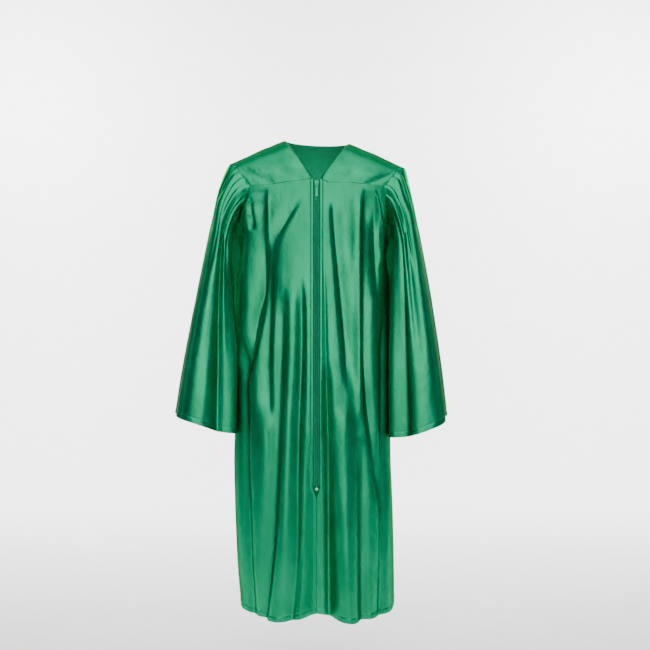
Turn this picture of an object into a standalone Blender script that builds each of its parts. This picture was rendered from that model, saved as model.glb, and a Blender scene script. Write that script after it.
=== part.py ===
"""Graduation gown, filled out as worn: yokes, panels, bell sleeves and a full front zip.

Metres, +Z up. The wearer faces -Y, and "right" and "left" are the wearer's, so the
right side is at -X. The origin is the middle of the neck opening at shoulder level.
Every cloth piece is a grid of points on a surface of sections, with Solidify inwards.
"""

import math
from collections import namedtuple

import bmesh
import bpy
import numpy as np
from mathutils import Vector

NAME = "graduation_gown"

# Cloth and seams
WALL = 0.0016
TAPE_WALL = 0.0010
SEAM_GAP = 0.0004
ARMHOLE_GAP = 0.0012
SHOULDER_GAP = 0.0016
ROUNDNESS = 2.25  # exponent of the body's rounded sections

# Neck and shoulders
NECK_HALF_WIDTH = 0.0896
NECK_TILT = 0.004  # the right neck point is this much higher, the left one lower
NECK_BACK = 0.062
NECK_BACK_DROP = 0.0005
NECK_SHARE = 0.45  # share of the back yoke's upper edge that is the neck
V_HALF_WIDTH = 0.0105  # half the space between the front edges at the V
V_DROP = 0.1165

Side = namedtuple("Side", "name sign tip_x tip_z neck_z")
RIGHT = Side("right", -1, 0.2335, -0.0590, NECK_TILT)
LEFT = Side("left", 1, 0.2352, -0.0700, -NECK_TILT)
SIDES = (RIGHT, LEFT)

# Front yoke seam: distance from the middle, height of the seam on each side
YokeSeam = namedtuple("YokeSeam", "x right_z left_z")
FRONT_SEAM = (
    YokeSeam(0.0105, -0.1165, -0.1165),
    YokeSeam(0.0350, -0.1200, -0.1270),
    YokeSeam(0.0730, -0.1245, -0.1270),
    YokeSeam(0.1240, -0.1320, -0.1300),
    YokeSeam(0.1810, -0.1367, -0.1367),
)
CORNER_X = 0.181
CORNER_FRONT = 0.092
CORNER_BACK = 0.100
CORNER_Z = -0.1367

BACK_SEAM_MIDDLE_Z = -0.150

# Armholes below the yokes: half width of the body and how far the edges lie from y 0
Armhole = namedtuple("Armhole", "z x front back")
ARMHOLES = {
    "right": (
        Armhole(-0.1367, 0.1810, 0.092, 0.100),
        Armhole(-0.1720, 0.1960, 0.083, 0.092),
        Armhole(-0.1950, 0.2045, 0.070, 0.078),
        Armhole(-0.2250, 0.2120, 0.049, 0.054),
        Armhole(-0.2500, 0.2165, 0.027, 0.030),
        Armhole(-0.2670, 0.2185, 0.0004, 0.0004),
    ),
    "left": (
        Armhole(-0.1367, 0.1810, 0.092, 0.100),
        Armhole(-0.1700, 0.1870, 0.083, 0.092),
        Armhole(-0.2020, 0.1920, 0.067, 0.074),
        Armhole(-0.2350, 0.1965, 0.045, 0.050),
        Armhole(-0.2560, 0.1992, 0.025, 0.028),
        Armhole(-0.2740, 0.2005, 0.0004, 0.0004),
    ),
}

# Body sections: half widths to each side, depth in front and behind
Level = namedtuple("Level", "z right left front back")
BODY = (
    Level(-0.110, 0.1810, 0.1810, 0.1050, 0.1130),
    Level(-0.180, 0.1990, 0.1890, 0.1110, 0.1190),
    Level(-0.270, 0.2185, 0.2005, 0.1230, 0.1280),
    Level(-0.360, 0.2240, 0.2028, 0.1270, 0.1310),
    Level(-0.450, 0.2265, 0.2036, 0.1310, 0.1350),
    Level(-0.650, 0.2285, 0.2044, 0.1390, 0.1430),
    Level(-0.800, 0.2300, 0.2050, 0.1450, 0.1500),
    Level(-0.880, 0.2315, 0.2060, 0.1480, 0.1540),
    Level(-1.000, 0.2300, 0.2110, 0.1540, 0.1600),
    Level(-1.150, 0.2235, 0.2150, 0.1610, 0.1670),
    Level(-1.300, 0.2110, 0.2160, 0.1680, 0.1730),
)
HEM_SIDE_Z = -1.276
HEM_FRONT_Z = -1.303
HEM_MIDDLE_Z = -1.286
HEM_MIDDLE_HALF = 0.070
HEM_BACK_Z = -1.302
SEAM_FADE = 0.030  # folds die out this close to a side seam
YOKE_FADE = 0.022  # and grow over this length below a yoke
FOLD_RISE = 0.10  # share of a fold's length over which it grows
FOLD_FALL = 0.16  # and dies out, where it ends above the hem

# Folds run down from start to end, through evenly spaced places across the cloth.
# Depth and width go from the first to the last value. A positive depth is a trough, a
# negative one a ridge. Skew makes the side towards +X wider than the other.
Fold = namedtuple("Fold", "start end x deep_top deep_end wide_top wide_end skew")
FRONT_FOLDS = (
    Fold(-0.128, -0.700, (-0.141, -0.148, -0.200), 0.006, 0.013, 0.020, 0.030, 0.36),
    Fold(-0.160, -0.800, (-0.045, -0.1215, -0.129, -0.134, -0.128), 0.012, 0.010, 0.024, 0.030, 0.42),
    Fold(-0.400, -1.320, (-0.090, -0.096, -0.106, -0.121, -0.150), 0.007, 0.018, 0.022, 0.032, 0.5),
    Fold(-0.380, -1.320, (-0.040, -0.040, -0.049, -0.052, -0.070), 0.006, 0.016, 0.016, 0.024, 0.5),
    Fold(-0.170, -0.620, (-0.186, -0.192, -0.194), -0.009, -0.009, 0.020, 0.022, 1.0),
    Fold(-0.500, -1.320, (-0.200, -0.194, -0.182), 0.006, 0.018, 0.014, 0.019, 1.0),
    Fold(-0.160, -0.260, (-0.187, -0.181, -0.174), 0.004, 0.004, 0.008, 0.008, 1.0),
    Fold(-0.170, -0.700, (0.042, 0.064, 0.088), 0.010, 0.009, 0.008, 0.010, 2.8),
    Fold(-0.128, -1.050, (0.134, 0.130, 0.180), 0.010, 0.011, 0.007, 0.011, 2.4),
    Fold(-0.150, -0.360, (0.163, 0.180, 0.174), -0.005, -0.004, 0.008, 0.009, 1.0),
    Fold(-0.600, -1.320, (0.026, 0.034, 0.042), 0.006, 0.022, 0.010, 0.017, 1.0),
    Fold(-0.720, -1.320, (0.074, 0.078, 0.086), -0.004, -0.013, 0.022, 0.026, 1.0),
    Fold(-0.760, -1.320, (0.118, 0.124, 0.132), 0.004, 0.016, 0.015, 0.019, 1.0),
    Fold(-0.500, -1.320, (0.176, 0.182, 0.180), 0.004, 0.014, 0.013, 0.017, 1.0),
    Fold(-0.800, -1.340, (0.002, 0.003, 0.004), 0.002, 0.052, 0.030, 0.046, 1.0),
)
BACK_FOLDS = (
    Fold(-0.150, -1.320, (-0.152, -0.166, -0.176), 0.008, 0.020, 0.010, 0.019, 1.0),
    Fold(-0.150, -0.560, (-0.124, -0.130, -0.141), 0.009, 0.006, 0.010, 0.012, 1.0),
    Fold(-0.150, -1.320, (-0.096, -0.106, -0.122), 0.010, 0.024, 0.010, 0.021, 1.2),
    Fold(-0.150, -0.700, (-0.066, -0.072, -0.084), 0.009, 0.010, 0.010, 0.013, 1.0),
    Fold(-0.150, -1.320, (-0.038, -0.048, -0.060), 0.010, 0.022, 0.010, 0.020, 0.9),
    Fold(-0.150, -1.320, (-0.010, -0.006, 0.004), 0.009, 0.024, 0.010, 0.021, 1.0),
    Fold(-0.150, -0.640, (0.020, 0.027, 0.036), 0.009, 0.010, 0.010, 0.012, 1.0),
    Fold(-0.150, -1.320, (0.047, 0.056, 0.066), 0.010, 0.023, 0.010, 0.020, 1.1),
    Fold(-0.150, -0.600, (0.076, 0.083, 0.092), 0.009, 0.006, 0.010, 0.012, 1.0),
    Fold(-0.150, -1.320, (0.104, 0.116, 0.126), 0.010, 0.022, 0.010, 0.020, 1.0),
    Fold(-0.150, -0.760, (0.132, 0.142, 0.152), 0.009, 0.010, 0.010, 0.012, 1.0),
    Fold(-0.150, -1.320, (0.156, 0.168, 0.176), 0.008, 0.018, 0.010, 0.018, 1.0),
)

# Sleeve sections along its length: outer and inner lines, depth to each side of y 0
Sleeve = namedtuple("Sleeve", "along outer_x outer_z inner_x inner_z half_depth")
SLEEVES = {
    "right": (
        Sleeve(0.00, 0.2343, -0.0590, 0.2200, -0.2680, 0.096),
        Sleeve(0.05, 0.2560, -0.0790, 0.2235, -0.2800, 0.101),
        Sleeve(0.12, 0.2710, -0.1200, 0.2262, -0.3020, 0.105),
        Sleeve(0.24, 0.2860, -0.1900, 0.2282, -0.3560, 0.108),
        Sleeve(0.45, 0.3200, -0.3480, 0.2300, -0.4800, 0.114),
        Sleeve(0.65, 0.3520, -0.5000, 0.2318, -0.5980, 0.120),
        Sleeve(0.85, 0.3800, -0.6460, 0.2338, -0.7200, 0.126),
        Sleeve(1.00, 0.3976, -0.7560, 0.2352, -0.8120, 0.130),
    ),
    "left": (
        Sleeve(0.00, 0.2360, -0.0700, 0.2020, -0.2750, 0.096),
        Sleeve(0.05, 0.2520, -0.0860, 0.2052, -0.2870, 0.101),
        Sleeve(0.12, 0.2590, -0.1280, 0.2072, -0.3090, 0.105),
        Sleeve(0.24, 0.2740, -0.1960, 0.2082, -0.3620, 0.108),
        Sleeve(0.45, 0.3050, -0.3540, 0.2088, -0.4850, 0.114),
        Sleeve(0.65, 0.3310, -0.5060, 0.2094, -0.6020, 0.120),
        Sleeve(0.85, 0.3530, -0.6520, 0.2100, -0.7250, 0.126),
        Sleeve(1.00, 0.3657, -0.7620, 0.2106, -0.8190, 0.130),
    ),
}
CAP_BLEND = 0.22  # share of the sleeve over which the armhole's shape turns into a tube
CUFF_DIP = {"right": -0.004, "left": 0.008}  # the cuff's front and back hang this much low
CAP_PUFF = 0.005
CAP_PUFF_END = 0.35
CAP_LIFT = 0.5  # how much the puff rises at the shoulder tip
CAP_REACH = 0.4  # how far past the sides of the tube the puff goes
TUBE_POWER = 0.88  # below 1 makes the tube's section squarer than an ellipse
TUBE_DEEPER = 1.4  # folds push in more from front and back by this factor
CAP_CROWD = 0.35  # how much the columns and rows crowd towards the cap
CAP_CROWD_POWER = 1.6
ROW_CROWD = 0.55

# Sleeve folds: degrees round from the outer line, towards the front when positive
SleeveFold = namedtuple("SleeveFold", "start end turn_top turn_end deep_top deep_end wide_top wide_end")
SLEEVE_FOLDS = {
    "right": (
        SleeveFold(0.00, 0.42, 14, 16, 0.0060, 0.002, 8, 10),
        SleeveFold(0.00, 0.60, 38, 34, 0.0065, 0.004, 8, 10),
        SleeveFold(0.00, 0.66, 62, 60, 0.0065, 0.004, 8, 10),
        SleeveFold(0.00, 1.10, 88, 88, 0.0060, 0.014, 8, 13),
        SleeveFold(0.05, 1.10, 114, 127, 0.0050, 0.010, 8, 9),
        SleeveFold(0.30, 1.10, 24, 20, 0.0020, 0.008, 9, 13),
        SleeveFold(0.08, 1.10, 152, 152, -0.0130, -0.024, 13, 11),
        SleeveFold(0.00, 0.46, -12, -14, 0.0060, 0.002, 8, 10),
        SleeveFold(0.00, 0.60, -36, -34, 0.0065, 0.004, 8, 10),
        SleeveFold(0.00, 1.10, -60, -56, 0.0065, 0.012, 8, 12),
        SleeveFold(0.00, 0.46, -84, -82, 0.0055, 0.003, 8, 10),
        SleeveFold(0.05, 1.10, -110, -104, 0.0050, 0.012, 9, 12),
        SleeveFold(0.08, 1.10, -152, -152, -0.0120, -0.022, 13, 11),
    ),
    "left": (
        SleeveFold(0.00, 0.40, 12, 14, 0.0060, 0.002, 8, 10),
        SleeveFold(0.00, 0.50, 38, 34, 0.0065, 0.002, 8, 10),
        SleeveFold(0.00, 1.10, 74, 78, 0.0065, 0.014, 8, 13),
        SleeveFold(0.05, 1.10, 112, 122, 0.0055, 0.011, 8, 9),
        SleeveFold(0.30, 1.10, 26, 22, 0.0020, 0.009, 9, 13),
        SleeveFold(0.08, 1.10, 152, 152, -0.0130, -0.023, 13, 11),
        SleeveFold(0.00, 0.46, -14, -12, 0.0060, 0.002, 8, 10),
        SleeveFold(0.00, 0.56, -38, -36, 0.0065, 0.003, 8, 10),
        SleeveFold(0.00, 1.10, -62, -58, 0.0065, 0.013, 8, 12),
        SleeveFold(0.00, 0.50, -86, -84, 0.0055, 0.003, 8, 10),
        SleeveFold(0.05, 1.10, -112, -108, 0.0050, 0.011, 9, 12),
        SleeveFold(0.08, 1.10, -152, -152, -0.0120, -0.021, 13, 11),
    ),
}
ROOT_RISE = 0.05  # share of the sleeve over which gathers grow from the seam
SLEEVE_FOLD_RISE = 0.12  # share of a fold's length over which it grows
SLEEVE_FOLD_FALL = 0.25  # and dies out, where it ends above the cuff

# Zip
EDGE_OPEN = 0.0095  # each folded front edge lies this far from the middle at the zip
EDGE_SHUT = 0.0018  # and this far below it, where the fronts hang edge to edge
ZIP_END_Z = -0.943
EDGE_CLOSED_Z = -0.975
TAPE_INNER = 0.0030
TAPE_UNDER = 0.30  # how far under the front each tape reaches, in columns
TAPE_BEHIND = WALL + 0.0016
CHAIN_HALF = 0.0024
CHAIN_DEPTH = 0.0022
CHAIN_PROUD = 0.0006
SLIDER_TOP_Z = -0.1225
SLIDER_BOTTOM_Z = -0.1385
SLIDER_HALF = 0.0058
PLATE = 0.0016
PLATE_CLEAR = 0.0012  # from the tapes to each plate
POST_HALF = 0.0014
BRIDGE_HALF = 0.0009  # half the thickness of the bridge's bars
BRIDGE_OUT = 0.0040
BRIDGE_TOP = 0.0055  # above the slider's middle
BRIDGE_BOTTOM = -0.0045
PULL_PIN = 0.0014
PIN_CLEAR = 0.0005
PULL_HALF = 0.0038
PULL_LENGTH = 0.0340
PULL_WALL = 0.0014
WINDOW_HALF = 0.0019
WINDOW_LENGTH = 0.0090
STOP_HALF = 0.0042
STOP_HEIGHT = 0.0075
STOP_SHOULDER = 0.55  # share of the height that its point takes
STOP_FRONT = 0.0012  # from the tapes' face to the stop's
STOP_DEPTH = 0.0024

# Grids: columns across and rows down
FRONT_COLUMNS = 27
BACK_COLUMNS = 48
ARMHOLE_ROWS = 6
PANEL_ROWS = 12
YOKE_COLUMNS = 9
BACK_YOKE_COLUMNS = 22
YOKE_ROWS = 6
SLEEVE_GRID = (46, 15)

GREEN = (0.035, 0.33, 0.17, 1.0)
DARK_GREEN = (0.02, 0.22, 0.11, 1.0)
MINT = (0.45, 0.80, 0.62, 1.0)


def rows_of(table, *columns):
    """The named columns of a table as arrays."""
    return [np.array([getattr(row, column) for row in table], float) for column in columns]


def smooth_curve(at, places, values):
    """Values at the given places, through the table's rows with no overshoot."""
    order = np.argsort(places)
    p, f = np.asarray(places, float)[order], np.asarray(values, float)[order]
    step = np.diff(p)
    slope = np.diff(f) / step
    tangent = np.zeros_like(f)
    same = slope[:-1] * slope[1:] > 0
    mean = 2 * slope[:-1] * slope[1:] / np.where(same, slope[:-1] + slope[1:], 1)
    tangent[1:-1] = np.where(same, mean, 0)
    tangent[0], tangent[-1] = slope[0], slope[-1]
    at = np.clip(at, p[0], p[-1])
    i = np.clip(np.searchsorted(p, at, side="right") - 1, 0, len(step) - 1)
    t = (at - p[i]) / step[i]
    h = step[i]
    return (
        (1 + 2 * t) * (1 - t) ** 2 * f[i]
        + t * (1 - t) ** 2 * h * tangent[i]
        + t * t * (3 - 2 * t) * f[i + 1]
        - t * t * (1 - t) * h * tangent[i + 1]
    )


def smooth_step(t):
    """0 below 0, 1 above 1, smooth between."""
    t = np.clip(t, 0, 1)
    return t * t * (3 - 2 * t)


def mix(a, b, t):
    """From a to b as t goes from 0 to 1."""
    return a + (b - a) * t


def through(values, t):
    """A smooth line through evenly spaced values as t goes from 0 to 1."""
    return smooth_curve(t, np.linspace(0, 1, len(values)), values)


def seam_height(side, x):
    """Height of the front yoke seam at a distance from the middle."""
    places, heights = rows_of(FRONT_SEAM, "x", f"{side.name}_z")
    return smooth_curve(x, places, heights)


def back_seam_height(x):
    """Height of the back yoke seam."""
    return mix(BACK_SEAM_MIDDLE_Z, CORNER_Z, (np.abs(x) / CORNER_X) ** 2)


def body_depth(z, behind):
    """How far the body's section reaches from y 0 at a height."""
    levels, depth = rows_of(BODY, "z", "back" if behind else "front")
    return smooth_curve(z, levels, depth)


def full_width(side, z, behind):
    """Half width of the whole rounded section, which the armholes cut above the underarm."""
    levels, wide = rows_of(BODY, "z", side.name)
    at, width, reach = rows_of(ARMHOLES[side.name], "z", "x", "back" if behind else "front")
    share = np.clip(reach / body_depth(at, behind), 0, 1)
    whole = width / (1 - share**ROUNDNESS) ** (1 / ROUNDNESS)
    below = levels < at[-1]
    places = np.concatenate([at, levels[below]])
    return smooth_curve(z, places, np.concatenate([whole, wide[below]]))


def last_angle(side, z, behind):
    """The section's angle where the cloth ends: at the armhole, or at the side below it."""
    at, width = rows_of(ARMHOLES[side.name], "z", "x")
    share = np.clip(smooth_curve(z, at, width) / full_width(side, z, behind), 0, 1)
    return np.where(z > at[-1], np.arcsin(share ** (ROUNDNESS / 2)), math.pi / 2)


def body_section(side, turn, z, behind):
    """A point on the plain body surface. turn is 0 at the middle and 1 at the outer edge."""
    angle = np.clip(turn, 0, 1) * last_angle(side, z, behind)
    power = 2 / ROUNDNESS
    x = side.sign * full_width(side, z, behind) * np.sin(angle) ** power
    y = np.maximum(body_depth(z, behind) * np.abs(np.cos(angle)) ** power, SEAM_GAP)
    return x, y if behind else -y


def outer_edge(side, z, behind):
    """Where the body's cloth ends at a height: its half width and its y."""
    x, y = body_section(side, np.ones_like(z), z, behind)
    return np.abs(x), y


def turn_at(side, x, z, behind):
    """The turn at which the body section has a given x."""
    share = np.clip(np.abs(x) / full_width(side, z, behind), 0, 1)
    return np.arcsin(share ** (ROUNDNESS / 2)) / last_angle(side, z, behind)


def fold_depth(folds, x, y, z, behind):
    """How far the folds push the surface in at plain surface points."""
    total = np.zeros_like(x)
    for fold in folds:
        t = (z - fold.start) / (fold.end - fold.start)
        inside = smooth_step(t / FOLD_RISE)
        if fold.end > HEM_BACK_Z:
            inside = inside * smooth_step((1 - t) / FOLD_FALL)
        t = np.clip(t, 0, 1)
        line = through(fold.x, t)
        side_x = np.where(line < 0, -1, 1)
        turn_r = turn_at(RIGHT, line, z, behind)
        turn_l = turn_at(LEFT, line, z, behind)
        x_r, y_r = body_section(RIGHT, turn_r, z, behind)
        x_l, y_l = body_section(LEFT, turn_l, z, behind)
        line_x = np.where(side_x < 0, x_r, x_l)
        line_y = np.where(side_x < 0, y_r, y_l)
        away = np.hypot(x - line_x, y - line_y)
        wide = mix(fold.wide_top, fold.wide_end, t) * np.where(x > line_x, fold.skew, 1)
        deep = mix(fold.deep_top, fold.deep_end, t)
        total += deep * inside * np.exp(-((away / wide) ** 2))
    return total


def surface_normals(points):
    """Unit normals of a grid of points, shape rows, columns, 3."""
    down = np.gradient(points, axis=0)
    across = np.gradient(points, axis=1)
    normal = np.cross(down, across)
    return normal / np.linalg.norm(normal, axis=2, keepdims=True)


def body_panel(side_turns, z, folds, behind):
    """Folded surface points from plain ones. side_turns is signed, below 0 on the right."""
    right = side_turns < 0
    x_r, y_r = body_section(RIGHT, -side_turns, z, behind)
    x_l, y_l = body_section(LEFT, side_turns, z, behind)
    x, y = np.where(right, x_r, x_l), np.where(right, y_r, y_l)
    plain = np.stack([x, y, z], axis=2)
    normal = surface_normals(plain)
    outward = np.sign(np.sum(normal[..., :2] * plain[..., :2], axis=2, keepdims=True))
    normal = normal * outward
    normal[..., 2] = 0
    normal /= np.linalg.norm(normal, axis=2, keepdims=True)
    edge_r, y_edge_r = outer_edge(RIGHT, z, behind)
    edge_l, y_edge_l = outer_edge(LEFT, z, behind)
    edge_away = np.where(
        right, np.hypot(x + edge_r, y - y_edge_r), np.hypot(x - edge_l, y - y_edge_l)
    )
    below_yoke = z[:1] - z
    fade = smooth_step(edge_away / SEAM_FADE) * smooth_step(below_yoke / YOKE_FADE)
    push = fold_depth(folds, x, y, z, behind) * fade
    return plain - normal * push[..., None]


def front_edge(z):
    """How far the folded front edge lies from the middle."""
    return mix(EDGE_OPEN, EDGE_SHUT, smooth_step((ZIP_END_Z - z) / (ZIP_END_Z - EDGE_CLOSED_Z)))


def hem_height(x, x_edge, behind):
    """Height of the hem at a distance x from the middle."""
    front = mix(HEM_MIDDLE_Z, HEM_FRONT_Z, smooth_step(np.abs(x) / HEM_MIDDLE_HALF))
    low = HEM_BACK_Z if behind else front
    return mix(low, HEM_SIDE_Z, np.clip(np.abs(x) / x_edge, 0, 1) ** 4)


def armhole_shares():
    """Shares down the armhole, closer together where it rounds out below."""
    return np.sin(np.linspace(0, 1, ARMHOLE_ROWS + 1) * math.pi / 2)


def panel_heights(side_ends, top_z, bottom_z):
    """Heights of a panel's rows: along the armhole, then down to the hem."""
    upper = armhole_shares()[:, None]
    lower = np.linspace(0, 1, PANEL_ROWS + 1)[1:, None]
    return np.concatenate([mix(top_z, side_ends, upper), mix(side_ends, bottom_z, lower)])


def underarm(side):
    """Height of the armhole's lowest point."""
    return ARMHOLES[side.name][-1].z


def front_panel_points(side, columns):
    """Points of one front, from the middle to the armhole and side, yoke seam to hem."""
    share = np.linspace(0, 1, columns + 1)
    top_turn = mix(turn_at(side, np.array(V_HALF_WIDTH), np.array(-V_DROP), False), 1, share)
    top_x = np.abs(body_section(side, top_turn, np.full_like(top_turn, CORNER_Z), False)[0])
    top_z = seam_height(side, top_x) - SEAM_GAP
    bottom_z = hem_height(top_x, CORNER_X, False)
    z = panel_heights(underarm(side), top_z[None, :], bottom_z[None, :])
    inner = turn_at(side, front_edge(z), z, False)
    turns = mix(inner, 1, share[None, :])
    return body_panel(side.sign * turns, z, FRONT_FOLDS, False)


def back_panel_points(columns):
    """Points of the back, from the right side to the left, yoke seam to hem."""
    turn = np.linspace(-1, 1, columns + 1)
    at = np.full_like(turn, CORNER_Z)
    x_r = body_section(RIGHT, -turn, at, True)[0]
    x_l = body_section(LEFT, turn, at, True)[0]
    x = np.where(turn < 0, x_r, x_l)
    top_z = back_seam_height(x) - SEAM_GAP
    bottom_z = hem_height(x, CORNER_X, True)
    ends = mix(underarm(RIGHT), underarm(LEFT), (turn + 1) / 2)[None, :]
    z = panel_heights(ends, top_z[None, :], bottom_z[None, :])
    return body_panel(np.broadcast_to(turn, z.shape), z, BACK_FOLDS, True)


def quarter_ellipse(start, end, share):
    """From start, where it runs level towards end's y, to end, where it runs down."""
    angle = share * math.pi / 2
    start, end = np.asarray(start, float), np.asarray(end, float)
    sink = (1 - np.cos(angle))[:, None]
    points = mix(start, end, sink)
    points[:, 1] = mix(start[1], end[1], np.sin(angle))
    return points


def coons(top, bottom, first, last):
    """A patch between four edges. top and bottom run across, first and last run down."""
    rows, columns = len(first), len(top)
    s = np.linspace(0, 1, rows)[:, None, None]
    t = np.linspace(0, 1, columns)[None, :, None]
    between = mix(top[None], bottom[None], s) + mix(first[:, None], last[:, None], t)
    corners = mix(mix(top[0], top[-1], t), mix(bottom[0], bottom[-1], t), s)
    return between - corners


def yoke_corner(side, behind):
    """The outer lower corner of a yoke."""
    y = CORNER_BACK if behind else -CORNER_FRONT
    return np.array([side.sign * CORNER_X, y, CORNER_Z])


def neck_point(side):
    """Where the shoulder line meets the neck."""
    return np.array([side.sign * NECK_HALF_WIDTH, 0, side.neck_z])


def shoulder_tip(side):
    """Where the shoulder line meets the armhole."""
    return np.array([side.sign * side.tip_x, 0, side.tip_z])


def front_yoke_points(side, columns, rows):
    """Points of one front yoke, neck to armhole, shoulder to seam."""
    across = np.linspace(0, 1, columns + 1)
    down = np.linspace(0, 1, rows + 1)
    top = mix(neck_point(side), shoulder_tip(side), across[:, None])
    z = np.full_like(across, CORNER_Z)
    inner_turn = turn_at(side, np.array(V_HALF_WIDTH), np.array(-V_DROP), False)
    x = body_section(side, mix(inner_turn, 1, across), z, False)[0]
    seam_z = seam_height(side, np.abs(x))
    y = body_section(side, mix(inner_turn, 1, across), seam_z, False)[1]
    bottom = np.stack([x, y, seam_z], axis=1)
    first = quarter_ellipse(top[0], bottom[0], down)
    last = quarter_ellipse(top[-1], bottom[-1], down)
    points = coons(top, bottom, first, last)
    points[0, :, 1] -= SHOULDER_GAP / 2
    points[-1, :, 2] += SEAM_GAP / 2
    return points


def back_yoke_points(columns, rows):
    """Points of the back yoke, right tip to left tip, shoulders and neck to seam."""
    across = np.linspace(-1, 1, columns + 1)
    down = np.linspace(0, 1, rows + 1)
    top = np.zeros((columns + 1, 3))
    for i, t in enumerate(across):
        side = RIGHT if t < 0 else LEFT
        if abs(t) > NECK_SHARE:
            out = (abs(t) - NECK_SHARE) / (1 - NECK_SHARE)
            top[i] = mix(neck_point(side), shoulder_tip(side), out)
        else:
            angle = t / NECK_SHARE * math.pi / 2
            level = mix(-RIGHT.neck_z, RIGHT.neck_z, 0.5 - 0.5 * math.sin(angle))
            top[i] = (
                NECK_HALF_WIDTH * math.sin(angle),
                NECK_BACK * math.cos(angle),
                level - NECK_BACK_DROP * math.cos(angle),
            )
    at = np.full_like(across, CORNER_Z)
    right = across < 0
    x_r = body_section(RIGHT, -across, at, True)[0]
    x_l = body_section(LEFT, across, at, True)[0]
    x = np.where(right, x_r, x_l)
    seam_z = back_seam_height(x)
    y = np.where(
        right,
        body_section(RIGHT, -across, seam_z, True)[1],
        body_section(LEFT, across, seam_z, True)[1],
    )
    bottom = np.stack([x, y, seam_z], axis=1)
    first = quarter_ellipse(top[0], bottom[0], down)
    last = quarter_ellipse(top[-1], bottom[-1], down)
    points = coons(top, bottom, first, last)
    points[0, :, 1] += SHOULDER_GAP / 2
    points[-1, :, 2] += SEAM_GAP / 2
    return points


def armhole_line(side, behind):
    """The armhole's edge from the tip to the underarm, at the pieces' own rows."""
    corner = yoke_corner(side, behind)
    upper = quarter_ellipse(shoulder_tip(side), corner, np.linspace(0, 1, YOKE_ROWS + 1))
    z = mix(CORNER_Z, underarm(side), armhole_shares())[1:]
    x, y = outer_edge(side, z, behind)
    return np.concatenate([upper, np.stack([side.sign * x, y, z], axis=1)])


def armhole_points(side, turns):
    """Points of the armhole. turns are degrees from the tip, positive to the front."""
    points = np.zeros((len(turns), 3))
    for behind in (False, True):
        line = armhole_line(side, behind)
        reach = np.concatenate([[0], np.cumsum(np.linalg.norm(np.diff(line, axis=0), axis=1))])
        here = (turns < 0) == behind
        share = np.abs(turns[here]) / 180 * reach[-1]
        points[here] = np.stack([np.interp(share, reach, line[:, i]) for i in range(3)], axis=1)
    return points


def sleeve_turns(columns):
    """Degrees round the sleeve, closer together over the gathered cap."""
    t = np.linspace(-1, 1, columns + 1)[:-1]
    return 180 * mix(t, np.sign(t) * np.abs(t) ** CAP_CROWD_POWER, CAP_CROWD)


def sleeve_points(side, columns, rows):
    """Points of one sleeve: rings from the armhole to the cuff."""
    table = SLEEVES[side.name]
    places, *lines = rows_of(
        table, "along", "outer_x", "outer_z", "inner_x", "inner_z", "half_depth"
    )
    turns = sleeve_turns(columns)
    armhole = armhole_points(side, turns)
    armhole[:, 0] += side.sign * ARMHOLE_GAP
    rings = []
    even = np.linspace(0, 1, rows + 1)
    for along in mix(even, even**2, ROW_CROWD):
        outer_x, outer_z, inner_x, inner_z, half = (
            float(smooth_curve(np.array(along), places, line)) for line in lines
        )
        a = np.radians(turns)
        c = np.sign(np.cos(a)) * np.abs(np.cos(a)) ** TUBE_POWER
        s = np.sign(np.sin(a)) * np.abs(np.sin(a)) ** TUBE_POWER
        tube = np.stack(
            [
                side.sign * mix(inner_x, outer_x, (c + 1) / 2),
                -half * s,
                mix(inner_z, outer_z, (c + 1) / 2) - CUFF_DIP[side.name] * along * s * s,
            ],
            axis=1,
        )
        early = min(along / CAP_BLEND, 1)
        ring = mix(armhole, tube, early * (2 - early))
        half_wide = (outer_x - inner_x) / 2
        out = np.stack([side.sign * c * half, -s * half_wide * TUBE_DEEPER, 0 * c], axis=1)
        out /= np.linalg.norm(out, axis=1, keepdims=True)
        out[:, 2] = CAP_LIFT * (1 - smooth_step(along / CAP_BLEND)) * np.clip(c, 0, 1)
        puff = CAP_PUFF * smooth_step(along / ROOT_RISE) * (1 - smooth_step(along / CAP_PUFF_END))
        puffed = puff * np.clip(c + CAP_REACH, 0, 1)
        ring += out * (puffed - sleeve_fold_depth(side, turns, along))[:, None]
        rings.append(ring)
    return np.array(rings)


def sleeve_fold_depth(side, turns, along):
    """How far the folds push a ring of the sleeve in."""
    total = np.zeros_like(turns)
    for fold in SLEEVE_FOLDS[side.name]:
        t = (along - fold.start) / (fold.end - fold.start)
        if not 0 < t < 1:
            continue
        rise = smooth_step(along / ROOT_RISE) * smooth_step(t / SLEEVE_FOLD_RISE)
        if fold.end < 1:
            rise = rise * smooth_step((1 - t) / SLEEVE_FOLD_FALL)
        away = turns - mix(fold.turn_top, fold.turn_end, t)
        wide = mix(fold.wide_top, fold.wide_end, t)
        total += mix(fold.deep_top, fold.deep_end, t) * rise * np.exp(-((away / wide) ** 2))
    return total


def at_heights(line, z):
    """Points of a line that runs down, at given heights."""
    return np.stack([np.interp(-z, -line[:, 2], line[:, i]) for i in range(2)] + [z], axis=1)


def zip_heights(edge, top_z):
    """The heights of a front edge's own points beside the zip, with both ends."""
    rows = edge[:, 2]
    return np.concatenate([[top_z], rows[(rows < top_z) & (rows > ZIP_END_Z)], [ZIP_END_Z]])


def tape_points(side, panel):
    """A zip tape behind the folded front edge, from the panel's own points."""
    z = zip_heights(panel[:, 0], SLIDER_TOP_Z)
    edge = at_heights(panel[:, 0], z)
    outer = at_heights(mix(panel[:, 0], panel[:, 1], TAPE_UNDER), z)
    inner = edge.copy()
    inner[:, 0] = side.sign * TAPE_INNER
    strip = np.stack([inner, outer], axis=1)
    strip[:, :, 1] += TAPE_BEHIND
    return strip


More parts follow.
